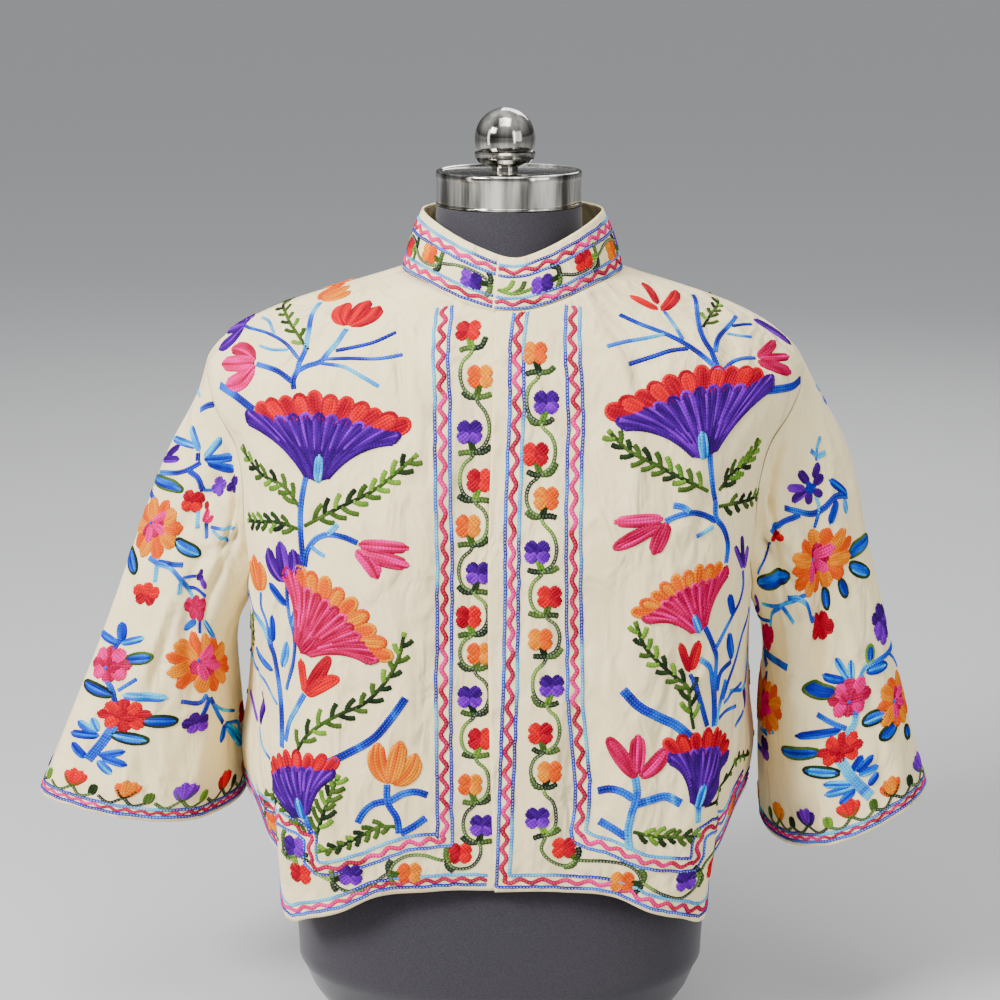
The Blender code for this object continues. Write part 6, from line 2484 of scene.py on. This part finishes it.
def new_finish(name: str, **values: object) -> tuple[Material, NodeSet, bpy.types.Node]:
    """Starts a material with one shader.

    Args:
        name: The material's name.
        values: The shader's sockets by name.

    Returns:
        The material, its nodes and its shader.
    """
    material = bpy.data.materials.new(name)
    material.use_nodes = True
    nodes = NodeSet(material.node_tree)
    shader = material.node_tree.nodes["Principled BSDF"]
    for socket, value in values.items():
        shader.inputs[socket.replace("_", " ")].default_value = value
    return material, nodes, shader


@dataclass(frozen=True)
class CottonFinish:
    """Cream hand-spun cotton, uneven in its yarns and a little mottled."""

    colour: tuple[float, float, float] = (0.94, 0.79, 0.44)
    shade: tuple[float, float, float] = (0.88, 0.72, 0.38)
    yarns: float = 1150.0

    # soft crumpling, as scale, how upright it runs and depth
    CREASES: ClassVar[tuple[tuple[float, float, float], ...]] = ((44.0, 0.5, 0.0075), (15.0, 0.35, 0.020))

    def make(self) -> Material:
        """Makes the material.

        Returns:
            The new material.
        """
        material, nodes, shader = new_finish(
            "cream_cotton", Roughness=0.9, Specular_IOR_Level=0.25, Sheen_Weight=0.12
        )
        flat = nodes.add("ShaderNodeUVMap", uv_map="flat").outputs["UV"]
        place = nodes.add("ShaderNodeTexCoord").outputs["Object"]
        mottle = nodes.noise(place, Scale=26.0, Detail=4.0, Roughness=0.6)
        slubs = [
            nodes.noise(nodes.stretched(flat, scale), Scale=self.yarns, Detail=2.0)
            for scale in ((1.0, 0.09, 1.0), (0.09, 1.0, 1.0))
        ]
        weave = nodes.sum("MULTIPLY", nodes.sum("ADD", *slubs), 0.5)
        tone = nodes.sum("ADD", nodes.sum("MULTIPLY", mottle, 0.55), nodes.sum("MULTIPLY", weave, 0.45))
        nodes.join(nodes.ramp(tone, ((0.32, self.shade), (0.62, self.colour))), shader.inputs["Base Color"])
        bump = under = nodes.bump(weave, 0.35, 0.0004)
        for size, stretch, depth in self.CREASES:
            hang = nodes.stretched(place, (1.0, 1.0, stretch))
            soft = nodes.noise(hang, Scale=size, Detail=2.5, Roughness=0.45, Distortion=0.7)
            crumple = nodes.bump(soft, 0.9, depth)
            nodes.join(crumple.outputs["Normal"], under.inputs["Normal"])
            under = crumple
        nodes.join(bump.outputs["Normal"], shader.inputs["Normal"])
        return material


@dataclass(frozen=True)
class JerseyFinish:
    """Dark, close knitted jersey of the dress form."""

    colour: tuple[float, float, float] = (0.020, 0.017, 0.024)
    light: tuple[float, float, float] = (0.034, 0.030, 0.039)

    def make(self) -> Material:
        """Makes the material.

        Returns:
            The new material.
        """
        material, nodes, shader = new_finish(
            "dark_jersey", Roughness=0.85, Specular_IOR_Level=0.3, Sheen_Weight=0.25
        )
        place = nodes.add("ShaderNodeTexCoord").outputs["Object"]
        knit = nodes.noise(place, Scale=900.0, Detail=1.0)
        tone = nodes.ramp(knit, ((0.35, self.colour), (0.7, self.light)))
        nodes.join(tone, shader.inputs["Base Color"])
        bump = nodes.bump(knit, 0.4, 0.0003)
        nodes.join(bump.outputs["Normal"], shader.inputs["Normal"])
        return material


@dataclass(frozen=True)
class ChromeFinish:
    """Bright plated metal whose colour carries painted reflections as dark and bright upright streaks, with
    faint wiping marks in its roughness.
    """

    def make(self) -> Material:
        """Makes the material.

        Returns:
            The new material.
        """
        material, nodes, shader = new_finish("bright_plate", Metallic=1.0, IOR=2.5)
        place = nodes.add("ShaderNodeTexCoord").outputs["Object"]
        drawn = nodes.stretched(place, (1.0, 1.0, 0.12))
        # painted reflection: upright streaks from near black to bright in the metal's colour stand in for the
        # room that it reflects
        painted_reflection_streaks = nodes.noise(drawn, Scale=55.0, Detail=3.0, Roughness=0.6)
        tones = ((0.36, (0.07, 0.067, 0.06)), (0.5, (0.36, 0.345, 0.31)), (0.66, (0.80, 0.78, 0.71)))
        nodes.join(nodes.ramp(painted_reflection_streaks, tones), shader.inputs["Base Color"])
        wipe = nodes.noise(place, Scale=160.0, Detail=3.0)
        nodes.join(nodes.spread(wipe, 0.07, 0.15), shader.inputs["Roughness"])
        return material


@dataclass(frozen=True)
class WoolFinish:
    """Soft wool in chain stitch, coloured by the dye that each row carries, with painted shade darkening the
    joints between links and the edges of each row.
    """

    def make(self) -> Material:
        """Makes the material.

        Returns:
            The new material.
        """
        material, nodes, shader = new_finish("chain_wool", Roughness=0.85, Specular_IOR_Level=0.08)
        dye = nodes.add("ShaderNodeAttribute", attribute_name="dye")
        chain = nodes.add("ShaderNodeAttribute", attribute_name="chain")
        part = nodes.add("ShaderNodeSeparateXYZ")
        nodes.join(chain.outputs["Vector"], part.inputs["Vector"])
        along, across, loops = part.outputs
        off = nodes.sum("ABSOLUTE", across, 0.0)
        slant = nodes.sum("SUBTRACT", along, nodes.sum("MULTIPLY", off, 0.32))
        link = nodes.sum("ABSOLUTE", nodes.sum("SUBTRACT", nodes.sum("FRACT", slant, 0.0), 0.5), 0.0)
        gap = nodes.spread(link, 1.0, 0.54, 0.32, 0.5, "SMOOTHSTEP")
        hole_along = nodes.sum("DIVIDE", nodes.sum("SUBTRACT", nodes.sum("FRACT", along, 0.0), 0.5), 0.30)
        hole_across = nodes.sum("DIVIDE", across, 0.36)
        squares = (nodes.sum("MULTIPLY", value, value) for value in (hole_along, hole_across))
        inside = nodes.sum("LESS_THAN", nodes.sum("ADD", *squares), 1.0)
        open_link = nodes.sum("MULTIPLY", nodes.sum("MULTIPLY", inside, loops), 0.55)
        place = nodes.add("ShaderNodeTexCoord").outputs["Object"]
        fuzz = nodes.noise(place, Scale=1500.0, Detail=2.0)
        mottle = nodes.spread(fuzz, 0.84, 1.28)
        shade = nodes.add("ShaderNodeVectorMath", operation="SCALE")
        nodes.join(dye.outputs["Color"], shade.inputs[0])
        # painted shade: the dye is darkened in the joints between links (gap) and towards each row's edges
        # (rim), where shade falls between the loops; gap also drives the bump
        rim = nodes.spread(off, 1.0, 0.5, 0.6, 1.0, "SMOOTHSTEP")
        link_and_edge_shade = nodes.sum("MULTIPLY", gap, rim)
        nodes.join(nodes.sum("MULTIPLY", link_and_edge_shade, mottle), shade.inputs["Scale"])
        mix = nodes.add("ShaderNodeMix", data_type="RGBA")
        nodes.join(open_link, mix.inputs["Factor"])
        nodes.join(shade.outputs["Vector"], mix.inputs["A"])
        mix.inputs["B"].default_value = (0.62, 0.60, 0.56, 1.0)
        nodes.join(mix.outputs["Result"], shader.inputs["Base Color"])
        bump = nodes.bump(nodes.sum("ADD", gap, nodes.sum("MULTIPLY", fuzz, 0.5)), 0.55, 0.0004)
        nodes.join(bump.outputs["Normal"], shader.inputs["Normal"])
        return material


class Embroidery:
    """All the needlework, one piece for each piece of cloth."""

    HEM_LOW, HEM_HIGH, HEM_VINE = 9.2, 41.0, 25.0

    def __init__(self, cloth: JacketCloth, wool: Material) -> None:
        """Keeps the cloth and the wool."""
        self.cloth, self.wool = cloth, wool
        self.pieces: dict[str, Piece] = {}

    def sew(
        self, node: str, flat: FlatMap, work: tuple[Sewn, ...], seed: int, rest: tuple[Sewn, ...] = ()
    ) -> None:
        """Sews the needlework of one piece of cloth and lays it on it.

        Args:
            node: Whose cloth it is on.
            flat: Flat map of that cloth.
            work: The motifs.
            seed: Seed of its unevenness.
            rest: Motifs that are sewn mirrored.
        """
        needle = Needle(seed)
        for motif in work:
            motif.sew(needle)
        needle.side = -1
        for motif in rest:
            motif.sew(needle)
        piece = needle.lay(f"wool_{node}", flat, self.wool)
        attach(piece, "root")
        LOG.info("%s: %d faces", piece.name, len(piece.data.polygons))
        self.pieces[node] = piece

    def fronts(self) -> None:
        """Both fronts."""
        hem = self.cloth.hem_line(self.HEM_LOW, 0.02, 0.995)
        left = (*FRONT_LEFT, Border(hem, 4.3, 1.6, 15))
        edge = ((8, 650), (9, 560), (9, 430), (7, 300), (6, hem[0][1] + 0.5))
        right = (*FRONT_RIGHT, Border((*edge, *(p for p in hem if p[0] > 8)), 5.2, 2.6, 17))
        self.sew("front_left", self.cloth.front_map(-1), left, 3)
        self.sew("front_right", self.cloth.front_map(1), right, 5)

    def back(self) -> None:
        """The back, whose plants answer those of the fronts."""
        low = self.cloth.hem_line(self.HEM_LOW, -0.995, 0.995, 1)
        high = self.cloth.hem_line(self.HEM_HIGH, -0.995, 0.995, 1)
        vine = self.cloth.hem_line(self.HEM_VINE, -0.97, 0.97, 1)
        trio = (ORANGES, REDS, PURPLES)
        along = tuple((26.0 + 41.0 * k, trio[k % 3]) for k in range(13))
        spine = tuple((20.0 + 41.0 * k, trio[(k + 1) % 3]) for k in range(10))
        middle = (
            Border(low, 4.6, 1.5, 15),
            Border(high, 5.2, 2.2, 17),
            Vine(vine, along),
            Border(((-27, 648), (-27, 236)), 5.8, 2.8),
            Border(((27, 236), (27, 648)), 5.8, 2.8),
            Vine(((0, 240), (0, 646)), spine, -1),
        )
        sides = tuple(m for m in FRONT_RIGHT if not isinstance(m, (Border, Vine)))
        others = tuple(m for m in FRONT_LEFT if not isinstance(m, (Border, Vine)))
        self.sew("back", self.cloth.back_map(), (*middle, *sides), 7, others)

    def sleeves(self) -> None:
        """Both sleeves."""
        starts = {-1: (40.0, 46.3, (REDS, ORANGES, PURPLES)), 1: (16.0, 40.5, (PURPLES, ORANGES, REDS))}
        for side, work, name in ((-1, SLEEVE_LEFT, "left"), (1, SLEEVE_RIGHT, "right")):
            flat = self.cloth.sleeve_map(side)
            half = float(flat.flat[0, -1, 0]) / MM - 2
            start, step, trio = starts[side]
            blooms = ((start + step * k, trio[k % 3]) for k in range(-5, 5))
            cuff = (
                Border(((-half, 7.0), (half, 7.0)), 3.3, 1.3, 13),
                Creeper(tuple(bloom for bloom in blooms if abs(bloom[0]) < half - 18)),
            )
            hidden = tuple(m for m in work if isinstance(m, (Daisy, Leaf, Petal)))
            self.sew(f"sleeve_{name}", flat, (*work, *cuff), 11 + side, hidden)

    def collar(self) -> None:
        """The collar."""
        flat = self.cloth.collar_map()
        first, last = float(flat.flat[0, 0, 0]) / MM + 1.5, float(flat.flat[0, -1, 0]) / MM - 1.5
        trio = (PURPLES, ORANGES, REDS)
        places = (476, 431, 395, 356, 317, 278, 239, 205, 170, 137, 104, 64, 24)
        flowers = tuple((last - place, trio[k % 3]) for k, place in enumerate(places))
        work = (
            Border(((first, 7.2), (last, 7.2)), 5.0, 2.1, 17, (Dye.BLUE, Dye.SKY), (Dye.ROYAL, Dye.BLUE)),
            Border(((first, 37.2), (last, 37.2)), 5.0, 2.1, 17),
            Vine(((last, 22.0), (first, 22.0)), flowers, -1, 5.5, 9.6),
            Strand(((first + 1, 19), (first + 14, 16), (first + 28, 19)), (Dye.OLIVE, Dye.LEAF), 1, 4.0),
            Strand(((first + 4, 18), (first + 10, 22), (first + 13, 29)), (Dye.LEAF,), 1, 5.0),
            Strand(((first + 13, 16), (first + 19, 20), (first + 22, 27)), (Dye.OLIVE,), 1, 5.0),
        )
        self.sew("collar", flat, work, 17)


class Studio:
    """Pale floor, soft light and the camera at the photograph's angle."""

    CAMERA = (0.0, -1.75, 0.899)
    PITCH = 76.1
    LENS = 79.45
    FLOOR = (0.50, 0.50, 0.50)
    STRENGTH = 0.85
    WALLS = (
        (0.50, (0.50, 0.50, 0.50)),
        (0.56, (0.10, 0.10, 0.11)),
        (0.70, (0.42, 0.43, 0.45)),
        (0.9, (0.9, 0.92, 0.95)),
    )
    LAMPS = (  # name, place, what it faces, size and power
        ("key", (-1.9, -1.6, 2.2), (0, 0, 0.42), (0.9, 0.9), 165),
        ("fill", (2.2, -2.0, 1.2), (0, 0, 0.4), (1.8, 1.8), 26),
        ("back", (0.6, 2.4, 2.3), (0, 0, 0.5), (1.6, 1.6), 40),
        ("top", (0.0, -0.7, 2.5), (0, 0, 0.6), (1.2, 1.2), 26),
        ("left_strip", (-1.5, -0.7, 0.9), (0, 0, 0.7), (0.22, 1.5), 7),
        ("right_strip", (1.1, -1.5, 1.0), (0, 0, 0.7), (0.16, 1.5), 5),
    )

    def build(self) -> None:
        """Makes the floor, the lights and the camera."""
        bpy.ops.object.select_all(action="DESELECT")
        bpy.ops.mesh.primitive_plane_add(size=900.0, location=(0, 0, 0))
        floor = bpy.context.object
        floor.name = "studio_floor"
        material, _, shader = new_finish("plain_floor", Roughness=0.9, Specular_IOR_Level=0.1)
        shader.inputs["Base Color"].default_value = (*self.FLOOR, 1.0)
        floor.data.materials.append(material)
        for lamp in self.LAMPS:
            self.lamp(*lamp)
        world = bpy.data.worlds.new("pale_room")
        world.use_nodes = True
        ground = world.node_tree.nodes["Background"]
        ground.inputs["Strength"].default_value = self.STRENGTH
        nodes = NodeSet(world.node_tree)
        split = nodes.add("ShaderNodeSeparateXYZ")
        nodes.join(nodes.add("ShaderNodeTexCoord").outputs["Generated"], split.inputs["Vector"])
        height = nodes.sum("ADD", nodes.sum("MULTIPLY", split.outputs["Z"], 0.5), 0.5)
        nodes.join(nodes.ramp(height, self.WALLS), ground.inputs["Color"])
        bpy.context.scene.world = world
        lens = bpy.data.cameras.new("camera")
        lens.lens, lens.sensor_width = self.LENS, 36.0
        camera = bpy.data.objects.new("camera", lens)
        camera.location = self.CAMERA
        camera.rotation_euler = (math.radians(self.PITCH), 0, 0)
        bpy.context.scene.collection.objects.link(camera)
        bpy.context.scene.camera = camera

    def lamp(self, name: str, place: tuple, target: tuple, size: Place, power: float) -> None:
        """A soft light that faces its target.

        Args:
            name: Its name.
            place: Where it stands.
            target: What it faces.
            size: Width and height.
            power: Power.
        """
        light = bpy.data.lights.new(name, "AREA")
        light.shape, light.energy = "RECTANGLE", power
        light.size, light.size_y = size
        lamp = bpy.data.objects.new(name, light)
        lamp.location = place
        away = Vector(place) - Vector(target)
        lamp.rotation_euler = away.to_track_quat("Z", "Y").to_euler()
        bpy.context.scene.collection.objects.link(lamp)


def main() -> None:
    """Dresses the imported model."""
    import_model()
    logging.basicConfig(level=logging.INFO, format="%(message)s")
    cotton = CottonFinish().make()
    jersey = JerseyFinish().make()
    chrome = ChromeFinish().make()
    wool = WoolFinish().make()
    cloth = JacketCloth()
    DressForm(cloth.body).build(jersey, chrome)
    needlework = Embroidery(cloth, wool)
    needlework.fronts()
    needlework.back()
    needlework.sleeves()
    needlework.collar()
    shells = (
        (cloth.front_shell(-1), "front_left", (0.357, 0.621), 0.147),
        (cloth.front_shell(1), "front_right", (0.357, 0.621), 0.145),
        (cloth.back_shell(), "back", (0.564, 0.573), 0.253),
        (cloth.sleeve_shell(-1), "sleeve_left", (0.525, 0.402), 0.115),
        (cloth.sleeve_shell(1), "sleeve_right", (0.531, 0.384), 0.118),
        (cloth.collar_shell(), "collar", (0.522, 0.048), 0.024),
    )
    for shell, node, size, area in shells:
        piece = shell.build(cotton)
        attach(piece, "root")
        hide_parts(node)
        LOG.info("%s: %d faces", piece.name, len(piece.data.polygons))
    Studio().build()
    bpy.context.view_layer.update()


if __name__ == "__main__":
    main()
